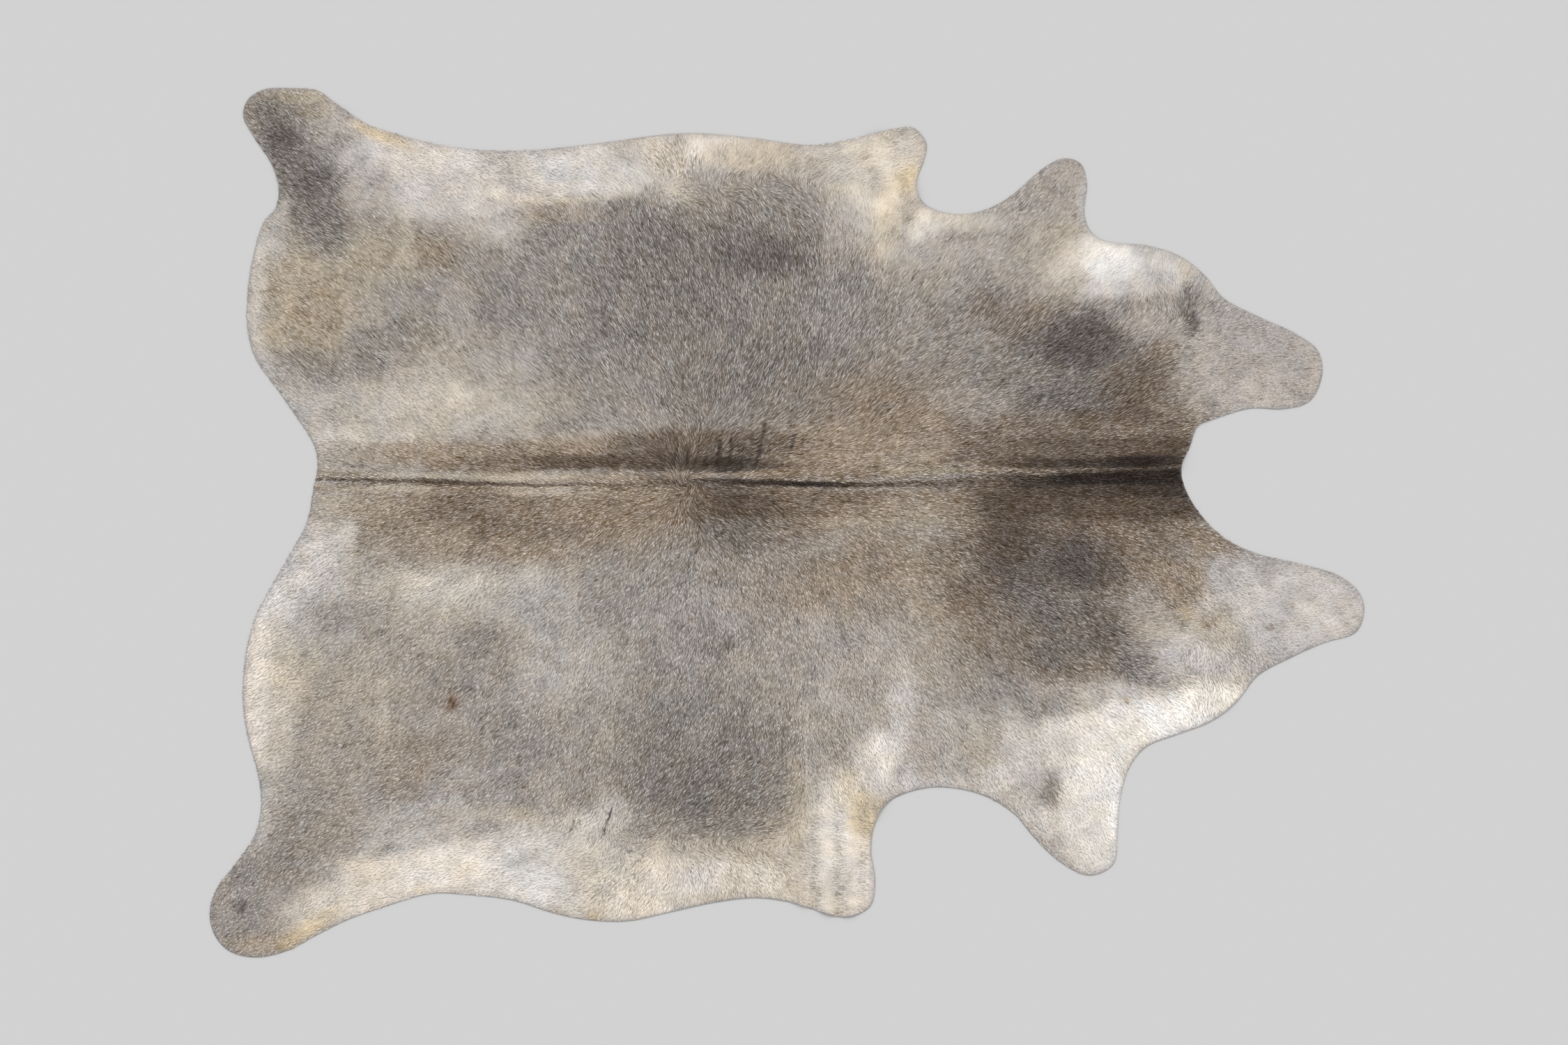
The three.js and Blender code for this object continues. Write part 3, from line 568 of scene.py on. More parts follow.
# The skin's mesh, in millimetres
RIM_BAND = 2.2  # how far inside the rim its first ring of points lies
SKIN_MARGIN = 7.0  # how far inside the rim its other points start
CREASE_ROWS = [0.0, 3.0, 6.5, 11.0, 17.0]  # rows of points beside the back crease
CUT_EDGE = (2.0, 3.2)  # how far inside the rim the pale cut edge starts to end, and where it has ended
CUT_EDGE_SHARE = 0.6

# The coat's pieces: name, and where along the hide each starts and ends
COAT_PIECES = [
    ("coat_rump", -200, 480),
    ("coat_flank", 480, 845),
    ("coat_belly", 845, 1185),
    ("coat_shoulder", 1185, 1590),
    ("coat_neck", 1590, 2600),
]


class HideSizes(bpy.types.PropertyGroup):
    """The sizes of the hide and its hair."""

    skin_thickness: bpy.props.FloatProperty(
        name="Skin", description="Thickness of the tanned skin", default=0.0019, unit="LENGTH"
    )
    mesh_step: bpy.props.FloatProperty(
        name="Skin mesh", description="Spacing of the skin's mesh", default=0.011, unit="LENGTH"
    )
    hair_length: bpy.props.FloatProperty(
        name="Hair length", description="Length of a lock of hair on the back", default=0.013, unit="LENGTH"
    )
    lock_width: bpy.props.FloatProperty(
        name="Lock width", description="Width of a lock at its root", default=0.0024, unit="LENGTH"
    )
    lock_height: bpy.props.FloatProperty(
        name="Lock height", description="How high a lock's ridge stands over its root", default=0.0009,
        unit="LENGTH",
    )
    lock_spacing: bpy.props.FloatProperty(
        name="Lock spacing", description="Distance between the roots of two locks", default=0.00357,
        unit="LENGTH",
    )
    seed: bpy.props.IntProperty(name="Seed", description="Changes each lock, not the hide", default=7)


class HideColours(bpy.types.PropertyGroup):
    """Colours of the hide that aren't one of the coat's tones."""

    suede: bpy.props.FloatVectorProperty(
        name="Suede", description="The skin's underside", subtype="COLOR_GAMMA", default=(0.78, 0.72, 0.63)
    )
    cut_edge: bpy.props.FloatVectorProperty(
        name="Cut edge", description="The skin's cut edge", subtype="COLOR_GAMMA",
        default=(0.56, 0.55, 0.56)
    )
    brightness: bpy.props.FloatProperty(
        name="Brightness", description="Evens out the shade that hair casts on hair", default=1.33
    )


class StageSettings(bpy.types.PropertyGroup):
    """The floor, the light and the camera."""

    floor_colour: bpy.props.FloatVectorProperty(
        name="Floor", description="The plain pale floor", subtype="COLOR_GAMMA",
        default=(0.737, 0.737, 0.737)
    )
    floor_width: bpy.props.FloatProperty(
        name="Floor width", description="Width of the floor", default=14.0, unit="LENGTH"
    )
    view_width: bpy.props.FloatProperty(
        name="View width", description="Width of floor that the camera sees", default=3.15, unit="LENGTH"
    )
    lens: bpy.props.FloatProperty(
        name="Lens", description="The camera's focal length in millimetres", default=85.0
    )
    view_middle: bpy.props.FloatProperty(
        name="View middle", description="Where along the hide the camera stands", default=-0.0066,
        unit="LENGTH",
    )
    sky: bpy.props.FloatProperty(name="Even light", description="Light from all round", default=0.8)
    key: bpy.props.FloatProperty(
        name="Key light", description="Strength of the soft light from the first side", default=1.96
    )
    key_from: bpy.props.FloatVectorProperty(
        name="Key from", description="Which way the key light stands", subtype="DIRECTION",
        default=(0.25, 1.0, 1.25)
    )
    key_spread: bpy.props.FloatProperty(
        name="Key spread", description="How wide the key light is, which softens its shadows",
        default=math.radians(50), subtype="ANGLE",
    )


def ease(low, high, value):
    """A smooth step from 0 to 1 as the value goes from low to high."""
    share = np.clip((value - low) / (high - low), 0.0, 1.0)
    return share * share * (3.0 - 2.0 * share)


def rounded_section(distance, reach):
    """The section of a fold: 1 on its line, 0 at its reach and past it."""
    return np.where(distance < reach, 0.5 + 0.5 * np.cos(np.pi * distance / reach), 0.0)


def column_at(table, column, along):
    """One column of a table whose rows start with a place along the back, eased between the rows."""
    stops = np.array([row[0] for row in table], float)
    values = np.array([row[column] for row in table], float)
    after = np.clip(np.searchsorted(stops, along), 1, len(stops) - 1)
    share = ease(stops[after - 1], stops[after], along)
    return values[after - 1] + (values[after] - values[after - 1]) * share


def outline_curve(steps):
    """The closed outline, with so many steps from one station to the next."""
    stations = [(along, side * out) for _, side, rows in OUTLINE for along, out in rows]
    here = np.array(stations, float)
    before, after, beyond = np.roll(here, 1, 0), np.roll(here, -1, 0), np.roll(here, -2, 0)
    spans = [np.sqrt(np.linalg.norm(end - start, axis=1))[:, None]
             for start, end in ((before, here), (here, after), (after, beyond))]
    leave = ((here - before) / spans[0] - (after - before) / (spans[0] + spans[1])
             + (after - here) / spans[1]) * spans[1]
    arrive = ((after - here) / spans[1] - (beyond - here) / (spans[1] + spans[2])
              + (beyond - after) / spans[2]) * spans[1]
    share = (np.arange(steps) / steps)[None, :, None]
    start, end, leave, arrive = (values[:, None, :] for values in (here, after, leave, arrive))
    curve = (start + leave * share + (3 * (end - start) - 2 * leave - arrive) * share ** 2
             + (2 * (start - end) + leave + arrive) * share ** 3)
    return curve.reshape(-1, 2)


def box_middle(points):
    """The middle of the box round some points."""
    return (points.min(0) + points.max(0)) / 2


RIM = outline_curve(RIM_STEPS)
MIDDLE = box_middle(outline_curve(BOX_STEPS))


def between(pair, share):
    """From a pair's first value to its second, as the share goes from 0 to 1."""
    return pair[0] + (pair[1] - pair[0]) * share


def distance_to_line(places, start, end):
    """How far each place lies from a straight line between two others."""
    start, end = np.array(start, float), np.array(end, float)
    run = end - start
    share = np.clip(((places - start) @ run) / (run @ run), 0.0, 1.0)
    return np.linalg.norm(places - start - share[:, None] * run, axis=1)


def lift(places):
    """How high the skin's underside stands off the floor."""
    height = np.zeros(len(places))
    for _, start, end, reach, top in FOLDS:
        height = np.maximum(height, top * rounded_section(distance_to_line(places, start, end), reach))
    return height


def from_crease(places):
    """How far a place lies off the back crease, positive on the first side."""
    return places[:, 1] - column_at(BACK_CREASE, 1, places[:, 0])


def coat_thickness(places):
    """Skin and coat together, thinner towards the belly and pressed in along the back crease."""
    belly = ease(FULL_THICKNESS_REACH, 1.0, np.abs(places[:, 1]) / BELLY_REACH)
    full = BACK_THICKNESS + (BELLY_THICKNESS - BACK_THICKNESS) * belly
    pressed = column_at(BACK_CREASE, 2, places[:, 0])
    return full - pressed * rounded_section(np.abs(from_crease(places)), BACK_CREASE_REACH)


class EdgeMap:
    """How far each place lies inside the cut edge, in millimetres, and negative outside it."""

    STEP = 5.0
    MARGIN = 60.0
    DOTS = 4  # dots on the rim between two of its points, from which the distance is taken

    def __init__(self, rim):
        self.low = rim.min(0) - self.MARGIN
        counts = np.ceil((rim.max(0) + self.MARGIN - self.low) / self.STEP).astype(int) + 1
        columns = self.low[0] + np.arange(counts[0]) * self.STEP
        rows = self.low[1] + np.arange(counts[1]) * self.STEP
        ahead = np.roll(rim, -1, 0)
        shares = (np.arange(self.DOTS) / self.DOTS)[:, None, None]
        dots = (rim + (ahead - rim) * shares).reshape(-1, 2)
        nearest = kdtree.KDTree(len(dots))
        for index, (along, across) in enumerate(dots.tolist()):
            nearest.insert((along, across, 0.0), index)
        nearest.balance()
        self.values = np.empty(counts)
        for row, across in enumerate(rows.tolist()):
            crosses = (rim[:, 1] > across) != (ahead[:, 1] > across)
            start, end = rim[crosses], ahead[crosses]
            places = np.sort(start[:, 0] + (across - start[:, 1]) * (end - start)[:, 0] / (end - start)[:, 1])
            inside = np.searchsorted(places, columns) % 2 == 1
            distance = np.array([nearest.find((along, across, 0.0))[2] for along in columns.tolist()])
            self.values[:, row] = np.where(inside, distance, -distance)

    def __call__(self, places):
        return sample_grid(self.values, (places - self.low) / self.STEP)


def sample_grid(grid, spots):
    """Values between a grid's points, given as fractional column and row."""
    just_inside = 1.001  # a place on the grid's last point would have no next one
    limit = np.array(grid.shape) - just_inside
    spots = np.clip(spots, 0, limit)
    cell = np.floor(spots).astype(int)
    across = spots - cell
    column, row = cell[:, 0], cell[:, 1]
    near = grid[column, row] * (1 - across[:, 0]) + grid[column + 1, row] * across[:, 0]
    far = grid[column, row + 1] * (1 - across[:, 0]) + grid[column + 1, row + 1] * across[:, 0]
    return near * (1 - across[:, 1]) + far * across[:, 1]


def wander(places, size, seed):
    """Smooth random values between -1 and 1 that change over about that many millimetres."""
    spots = (places - RIM.min(0) + WANDER_MARGIN) / size
    counts = np.ceil(((RIM.max(0) - RIM.min(0)) + 2 * WANDER_MARGIN) / size).astype(int) + 3
    grid = np.random.default_rng(seed).uniform(-1.0, 1.0, counts)
    cell = np.floor(spots)
    eased = cell + ease(0.0, 1.0, spots - cell)
    return sample_grid(grid, eased)


def headings(places):
    """The way the hair's tips point at each place, as a unit vector on the hide."""
    crossways = from_crease(places)
    result = np.zeros((len(places), 2))
    for side, own_rows in ((1, LAY_FIRST_SIDE), (-1, LAY_SECOND_SIDE)):
        rows = np.array(LAY_BOTH_SIDES + own_rows, float)
        here = np.flatnonzero((crossways >= 0) == (side > 0))
        spots = np.stack([places[here, 0], np.abs(crossways[here])], 1)
        pull = np.zeros((len(here), 2))
        for along, out, heading in rows:
            nearness = 1.0 / (((spots - (along, out)) ** 2).sum(1) + LAY_SOFTNESS) ** (LAY_SHARPNESS / 2)
            pull[:, 0] -= nearness * math.cos(math.radians(heading))
            pull[:, 1] += nearness * math.sin(math.radians(heading)) * side
        result[here] = pull / np.linalg.norm(pull, axis=1)[:, None]
    for _, along, across, reach, turn in WHORLS:
        offset = places - (along, across)
        distance = np.linalg.norm(offset, axis=1)
        outwards = offset / np.maximum(distance, 0.01)[:, None]
        turned = turn_vectors(outwards, np.radians(np.full(len(places), float(turn))))
        share = (1.0 - ease(WHORL_CORE * reach, reach, distance))[:, None]
        result = result * (1 - share) + turned * share
    return result / np.maximum(np.linalg.norm(result, axis=1), 1e-6)[:, None]


def turn_vectors(vectors, angles):
    """Vectors on the hide, each turned by its own angle against the clock."""
    cosine, sine = np.cos(angles), np.sin(angles)
    return np.stack([vectors[:, 0] * cosine - vectors[:, 1] * sine,
                     vectors[:, 0] * sine + vectors[:, 1] * cosine], 1)


def patch_nearness(places, along, across, half_along, half_across, turn):
    """0 in the middle of an oval, 1 on its edge."""
    offset = turn_vectors(places - (along, across), np.full(len(places), -math.radians(turn)))
    return np.sqrt((offset[:, 0] / half_along) ** 2 + (offset[:, 1] / half_across) ** 2)


def tones(places):
    """The coat's tone at each place, as it is seen, from 0 to 1, with painted shade in the creases and a
    painted highlight beside the back crease.
    """
    drift = np.zeros((len(places), 2))
    for index, (size, reach) in enumerate(WARPS):
        drift[:, 0] += reach * wander(places, size, ALONG_SEED + index)
        drift[:, 1] += reach * wander(places, size, ACROSS_SEED + index)
    furthest = sum(reach for _, reach in WARPS) + 2
    colour = np.tile(np.array(TONES["taupe"], float), (len(places), 1))
    for tone, along, across, half_along, half_across, turn, strength in sum(PATCHES.values(), []):
        freedom = min(1.0, min(half_along, half_across) / FREE_PATCH)
        reach = PATCH_EDGE[1] * max(half_along, half_across) + furthest
        here = np.flatnonzero(np.abs(places - (along, across)).max(1) < reach)
        moved = places[here] + drift[here] * freedom
        near = patch_nearness(moved, along, across, half_along, half_across, turn)
        share = strength * (1.0 - ease(*PATCH_EDGE, near))
        colour[here] += (np.array(TONES[tone], float) - colour[here]) * share[:, None]
    for band in BACK_BANDS.values():
        rows = [(along, across, half, *TONES[tone]) for along, across, half, tone in band]
        middle, half, *own = (column_at(rows, column, places[:, 0]) for column in range(1, 6))
        middle += BAND_WANDER[1] * wander(places, BAND_WANDER[0], BAND_SEED)
        share = BAND_SHARE * (1 - ease(*BAND_EDGE, np.abs(places[:, 1] - middle) / half))
        share *= ease(*BAND_START, places[:, 0] - rows[0][0])
        colour += (np.stack(own, 1) - colour) * share[:, None]
    value = np.ones(len(places))
    for index, (size, strength) in enumerate(MOTTLE):
        value += strength * wander(places, size, MOTTLE_SEED + index)
    warmth = np.zeros(len(places))
    for index, (size, strength) in enumerate(WARMTH):
        warmth += strength * wander(places, size, WARMTH_SEED + index)
    colour *= value[:, None] * (1 + warmth[:, None] * WARMER)
    # Painted shade in the fine creases: the tone darkened towards black along each line
    shade = np.zeros(len(places))
    for start, end, half, dark in FINE_CREASE_SHADES:
        line = dark * (1 - ease(*LINE_EDGE, distance_to_line(places, start, end) / half))
        shade = np.maximum(shade, line)
    colour += (np.array(TONES["black"], float) - colour) * shade[:, None]
    for start, end, half, pale in PALE_SCRATCHES:
        line = pale * (1 - ease(*LINE_EDGE, distance_to_line(places, start, end) / half))
        colour += (np.array(TONES["ivory"], float) - colour) * line[:, None]
    return np.clip(colour / 255.0, 0.0, 1.0)


def to_linear(seen):
    """Colours as light, from colours as they are seen."""
    return np.where(seen <= 0.04045, seen / 12.92, ((seen + 0.055) / 1.055) ** 2.4)


def to_object(places, heights):
    """Places and heights in millimetres, as points in the object's frame in metres."""
    return np.column_stack([places - MIDDLE, heights]) * MM


def add_mesh(name, points, faces):
    """A new mesh object of triangles, at the origin."""
    mesh = bpy.data.meshes.new(name)
    mesh.vertices.add(len(points))
    mesh.vertices.foreach_set("co", points.astype(np.float32).ravel())
    mesh.loops.add(faces.size)
    mesh.loops.foreach_set("vertex_index", faces.astype(np.int32).ravel())
    mesh.polygons.add(len(faces))
    mesh.polygons.foreach_set("loop_start", np.arange(0, faces.size, 3, dtype=np.int32))
    mesh.update(calc_edges=True)
    if mesh.validate():
        raise RuntimeError(f"{name}: the mesh had faces that aren't valid")
    made = bpy.data.objects.new(name, mesh)
    bpy.context.scene.collection.objects.link(made)
    return made


def add_point_values(piece, name, kind, field, values):
    """A value, vector or colour for each of a piece's points."""
    attribute = piece.data.attributes.new(name, kind, "POINT")
    attribute.data.foreach_set(field, values.astype(np.float32).ravel())


def add_tones(piece, colours):
    """The tone of each of a piece's points, which its material reads."""
    full = np.column_stack([colours, np.ones(len(colours))])
    add_point_values(piece, "tone", "FLOAT_COLOR", "color", full)


def add_bake_map(piece, corners):
    """The map on which a piece's colours are baked, given at each corner of each face."""
    layer = piece.data.uv_layers.new(name="OFBake")
    layer.data.foreach_set("uv", corners.astype(np.float32).ravel())


class Thread:
    """A value that runs through a material's nodes, so that shader maths reads as Python."""

    def __init__(self, tree, output=None):
        self.tree = tree
        self.output = output

    def node(self, kind, settings=None, sockets=None, take=0):
        """A node of that kind, its settings made first, then its sockets filled or linked."""
        made = self.tree.nodes.new(kind)
        for name, value in (settings or {}).items():
            setattr(made, name, value)
        for name, value in (sockets or {}).items():
            if isinstance(value, Thread):
                self.tree.links.new(value.output, made.inputs[name])
            else:
                made.inputs[name].default_value = value
        return Thread(self.tree, made.outputs[take])

    def maths(self, operation, first, second):
        """One step of arithmetic."""
        return self.node("ShaderNodeMath", {"operation": operation}, {0: first, 1: second})

    def __add__(self, other):
        return self.maths("ADD", self, other)

    def __sub__(self, other):
        return self.maths("SUBTRACT", self, other)

    def __mul__(self, other):
        return self.maths("MULTIPLY", self, other)

    __radd__ = __add__
    __rmul__ = __mul__

    def mix(self, factor, first, second):
        """Two colours mixed."""
        return self.node("ShaderNodeMix", {"data_type": "RGBA"}, {0: factor, 6: first, 7: second}, take=2)

    def scaled(self, vector, factors):
        """A vector with each of its parts times its own factor."""
        return self.node("ShaderNodeVectorMath", {"operation": "MULTIPLY"}, {0: vector, 1: factors})

    def noise(self, vector, scale, detail):
        """Smooth random values from 0 to 1."""
        return self.node("ShaderNodeTexNoise", {}, {"Vector": vector, "Scale": scale, "Detail": detail})

    def remap(self, given, wanted):
        """This value with the given range stretched to the wanted one."""
        sockets = {0: self, 1: given[0], 2: given[1], 3: wanted[0], 4: wanted[1]}
        return self.node("ShaderNodeMapRange", {}, sockets)

    def times(self, share):
        """This colour, darker or lighter by a share."""
        return self.node("ShaderNodeVectorMath", {"operation": "SCALE"}, {0: self, "Scale": share})


def new_material(name):
    """A new material, its shader, and a thread to start from."""
    material = bpy.data.materials.new(name)
    material.use_nodes = True
    return material, material.node_tree.nodes["Principled BSDF"], Thread(material.node_tree)


def finish_shader(shader, colour, roughness, height, relief, gloss):
    """Gives a shader its colour, its roughness, its relief from a height, and its gloss."""
    sockets = {"Height": height, "Distance": RELIEF_DEPTH, "Strength": relief}
    bumps = height.node("ShaderNodeBump", {}, sockets)
    for name, thread in (("Base Color", colour), ("Roughness", roughness), ("Normal", bumps)):
        thread.tree.links.new(thread.output, shader.inputs[name])
    shader.inputs["Specular IOR Level"].default_value = gloss


def coat_material():
    """Lying cow hair: each lock has its own tone, with finer hairs drawn along it, and a soft gloss."""
    material, shader, start = new_material("coat hair")
    tone = start.node("ShaderNodeAttribute", {"attribute_name": "tone"})
    strand = start.node("ShaderNodeAttribute", {"attribute_name": "strand"}, take=1)
    hairs = start.noise(start.scaled(strand, HAIR_STRETCH), *HAIR_NOISE)
    grain = start.node("ShaderNodeAttribute", {"attribute_name": "grain"}, take=2)
    wave = 1.0 + (hairs - 0.5) * (grain * HAIR_CONTRAST)
    finish_shader(shader, tone.times(wave), between(HAIR_ROUGHNESS, hairs), hairs, HAIR_RELIEF, HAIR_GLOSS)
    return material


def skin_material():
    """Tanned skin: the tone of the hair's roots on top, a pale cut edge, and napped suede underneath."""
    material, shader, start = new_material("tanned skin")
    tone = start.node("ShaderNodeAttribute", {"attribute_name": "tone"})
    under = start.node("ShaderNodeAttribute", {"attribute_name": "underside"}, take=2)
    place = start.node("ShaderNodeTexCoord", take=3)
    nap = start.noise(place, *NAP_NOISE)
    fibres = start.noise(place, *FIBRE_NOISE)
    fine = tone.times(fibres.remap(*FIBRE_TONE))
    colour = start.mix(under, fine, fine.times(nap.remap(*NAP_TONE)))
    finish_shader(shader, colour, between(SKIN_ROUGHNESS, nap), fibres + nap, SKIN_RELIEF, SKIN_GLOSS)
    return material


def skin_places(step, margin):
    """Places spread over the hide, well inside its edge, in rows that follow the back crease."""
    low, high = RIM.min(0), RIM.max(0)
    columns = np.arange(low[0], high[0], step)
    outermost = np.abs(RIM[:, 1]).max() + 2 * step
    outward = np.array(CREASE_ROWS + list(np.arange(CREASE_ROWS[-1] + step, outermost, step)))
    offsets = np.concatenate([-outward[:0:-1], outward])
    grid = np.stack(np.meshgrid(columns, offsets, indexing="ij"), -1).reshape(-1, 2)
    grid[:, 1] += column_at(BACK_CREASE, 1, grid[:, 0])
    return grid[EDGE(grid) > margin]


def folded_skin_places(step, margin):
    """Places spread over the hide, twice as close on its folds, so that the skin follows them."""
    wide, close = skin_places(step, margin), skin_places(step / 2, margin)
    return np.concatenate([wide[lift(wide) == 0], close[lift(close) > 0]])


def rim_area():
    """The area inside the rim, positive where the rim runs against the clock."""
    ahead = np.roll(RIM, -1, 0)
    return float((RIM[:, 0] * ahead[:, 1] - ahead[:, 0] * RIM[:, 1]).sum()) / 2


def rim_inset(distance):
    """The rim moved inwards, without the points that then lie too close to another part of it."""
    ahead, behind = np.roll(RIM, -1, 0), np.roll(RIM, 1, 0)
    run = ahead - behind
    run /= np.linalg.norm(run, axis=1)[:, None]
    inset = RIM + np.column_stack([run[:, 1], -run[:, 0]]) * distance
    return inset[np.abs(EDGE(inset) - distance) < distance / 2]


def triangulate(inner):
    """The rim's area as triangles over the rim's points and the inner ones, facing up."""
    places = np.concatenate([RIM, inner])
    points, rim = [Vector(place) for place in places.tolist()], list(range(len(RIM)))
    inside_only, tolerance = 1, 1e-6
    result = geometry.delaunay_2d_cdt(points, [], [rim], inside_only, tolerance)
    flat = np.array([tuple(place) for place in result[0]], float)
    faces = np.array(result[2], int)
    if len(flat) != len(places):
        raise RuntimeError("the skin's mesh lost or gained points")
    first, second, third = (flat[faces[:, corner]] for corner in range(3))
    turn = ((second - first)[:, 0] * (third - first)[:, 1] - (second - first)[:, 1] * (third - first)[:, 0])
    faces[turn < 0] = faces[turn < 0][:, ::-1]
    return flat, faces


def find_rim(flat):
    """Which points of a triangulated layer are the rim's, in the rim's order."""
    return np.array([int(np.argmin(((flat - place) ** 2).sum(1))) for place in RIM])


class HIDE_OT_skin(bpy.types.Operator):
    """Adds the tanned skin, a closed sheet with its folds, its cut edge and its suede underside"""

    bl_idname = "hide.skin"
    bl_label = "Add Skin"

    def execute(self, context):
        sizes, colours = context.scene.hide_sizes, context.scene.hide_colours
        step, thickness = sizes.mesh_step / MM, sizes.skin_thickness / MM
        band = rim_inset(RIM_BAND)
        top_flat, top_faces = triangulate(np.concatenate([band, folded_skin_places(step, SKIN_MARGIN)]))
        low_flat, low_faces = triangulate(skin_places(2 * step, step))
        top_rim, low_rim = find_rim(top_flat), find_rim(low_flat)
        groove = rounded_section(np.abs(from_crease(top_flat)), BACK_CREASE_REACH)
        top_height = lift(top_flat) + thickness - SKIN_GROOVE * groove
        points = np.concatenate([to_object(top_flat, top_height), to_object(low_flat, lift(low_flat))])
        first_low = len(top_flat)
        top_next, low_next = np.roll(top_rim, -1), np.roll(low_rim, -1)
        low_here, low_after = low_rim + first_low, low_next + first_low
        wall = np.concatenate([
            np.stack([top_rim, top_next, low_here], 1), np.stack([top_next, low_after, low_here], 1),
        ])
        if rim_area() > 0:
            wall = wall[:, ::-1]
        faces = np.concatenate([top_faces, low_faces[:, ::-1] + first_low, wall])
        piece = add_mesh("skin", points, faces)

        seen = tones(top_flat)
        pale = ease(*PALE_HAIR, seen.mean(1))[:, None]
        # Painted shade of the roots on the skin under dark hair
        seen = np.clip(seen * between(SKIN_TONE, pale), 0, 1)
        cut_share = CUT_EDGE_SHARE * (1 - ease(*CUT_EDGE, EDGE(top_flat)))[:, None]
        seen = seen * (1 - cut_share) + np.array(colours.cut_edge) * cut_share
        suede = np.tile(np.array(colours.suede), (len(low_flat), 1))
        add_tones(piece, to_linear(np.concatenate([seen, suede])))
        under = np.repeat([0.0, 1.0], [len(top_flat), len(low_flat)])
        add_point_values(piece, "underside", "FLOAT", "value", under)
        self.map_for_baking(piece, len(top_faces), len(low_faces))
        piece.data.materials.append(skin_material())
        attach(piece, "root")
        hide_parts("hide")
        return {"FINISHED"}

    def map_for_baking(self, piece, top_count, low_count):
        """The hair side fills the upper half of the map, the suede the lower half, the wall a thin strip."""
        corners = np.empty(len(piece.data.loops), np.int32)
        piece.data.loops.foreach_get("vertex_index", corners)
        points = np.empty(len(piece.data.vertices) * 3, np.float32)
        piece.data.vertices.foreach_get("co", points)
        flat = points.reshape(-1, 3)[corners][:, :2]
        low, high = flat.min(0), flat.max(0)
        share = (flat - low) / (high - low)
        margin, half, strip = 0.01, 0.5, 0.003
        spread = np.array([1 - 2 * margin, half - 2 * margin])
        uv = np.array([margin, half + margin]) + spread * share
        low_part = slice(3 * top_count, 3 * (top_count + low_count))
        uv[low_part, 1] -= half
        wall_part = slice(3 * (top_count + low_count), None)
        count = (len(corners) - 3 * (top_count + low_count)) // 6
        place = np.arange(count) / count
        ahead = (np.arange(count) + 1) / count
        upper, lower = np.full(count, half + strip), np.full(count, half - strip)
        first = np.stack([place, upper, ahead, upper, place, lower], 1).reshape(-1, 3, 2)
        second = np.stack([ahead, upper, ahead, lower, place, lower], 1).reshape(-1, 3, 2)
        uv[wall_part] = np.concatenate([first, second]).reshape(-1, 2)
        add_bake_map(piece, uv)


def in_ovals(places, rows):
    """How much each place lies in any of the ovals, from 0 outside them to 1."""
    share = np.zeros(len(places))
    for along, across, half_along, half_across in rows:
        near = patch_nearness(places, along, across, half_along, half_across, 0)
        share = np.maximum(share, 1 - ease(*OVAL_EDGE, near))
    return share


def lock_roots(spacing, draw):
    """Roots scattered evenly over the hide, none of them in line."""
    low, high = RIM.min(0), RIM.max(0)
    columns = np.arange(low[0], high[0], spacing)
    rows = np.arange(low[1], high[1], spacing)
    grid = np.stack(np.meshgrid(columns, rows, indexing="ij"), -1)
    grid[::2, :, 1] += spacing / 2
    grid = grid.reshape(-1, 2)
    grid += draw.uniform(*ROOT_SCATTER, grid.shape) * spacing
    return grid[EDGE(grid) > ROOT_MARGIN]


def hair_lengths(places, full, draw):
    """How long each lock is, before it is cut back at the hide's edge."""
    share = np.ones(len(places))
    for along, across, half_along, half_across, short in SHORT_HAIR:
        inside = 1 - ease(*SHORT_EDGE, patch_nearness(places, along, across, half_along, half_across, 0))
        share = np.minimum(share, 1 - (1 - short) * inside)
    return full * share * draw.uniform(*LENGTHS, len(places))


def grow_locks(sizes, draw):
    """Each lock's root, the way it lies and its length, cut back where it would stand out past the edge."""
    roots = lock_roots(sizes.lock_spacing / MM, draw)
    ways = headings(roots)
    swing = sum(turn * wander(roots, size, SWING_SEED + index) for index, (size, turn) in enumerate(SWINGS))
    swing = swing + draw.normal(0, OWN_SWING, len(roots))
    ways = turn_vectors(ways, np.radians(swing))
    lengths = hair_lengths(roots, sizes.hair_length / MM, draw)
    reach = TIP_REACH + LOOSE_REACH * in_ovals(roots, LOOSE_EDGES) * draw.uniform(*LOOSE_TIPS, len(roots))
    for _ in range(TRIM_ROUNDS):
        past = -EDGE(roots + ways * lengths[:, None]) - reach
        lengths = np.where(past > 0, lengths - TRIM_SHARE * past, lengths)
    keep = lengths > SHORTEST_LOCK
    return roots[keep], ways[keep], lengths[keep]


def lock_corners(sizes, roots, ways, lengths, pale, draw):
    """Each lock's four corners, its ridge never below the line from its root to its tip."""
    count, skin = len(roots), sizes.skin_thickness / MM
    widths = sizes.lock_width / MM * draw.uniform(*WIDTHS, count) * between(WIDTH_SHARE, pale)
    ridges = sizes.lock_height / MM * draw.uniform(*RIDGES, count) * between(RIDGE_SHARE, pale)
    rise = (coat_thickness(roots) - skin) * draw.uniform(*RISES, count) * between(RISE_SHARE, pale)
    rise *= np.clip(lengths / FLAT_LOCK, LEAST_RISE, 1.0)
    tips = roots + ways * lengths[:, None]
    ridge_places = roots + ways * (RIDGE_PLACE * lengths)[:, None]
    root_height, tip_height = lift(roots) + skin - ROOT_DEPTH, lift(tips) + skin + rise
    straight = root_height + RIDGE_PLACE * (tip_height - root_height)
    ridge_height = np.maximum(lift(ridge_places) + skin, straight) + ridges
    left = np.column_stack([-ways[:, 1], ways[:, 0]]) * (widths / 2)[:, None]
    corners = [(roots + left, root_height), (roots - left, root_height), (ridge_places, ridge_height),
               (tips, tip_height)]
    return np.stack([to_object(*corner) for corner in corners], 1)


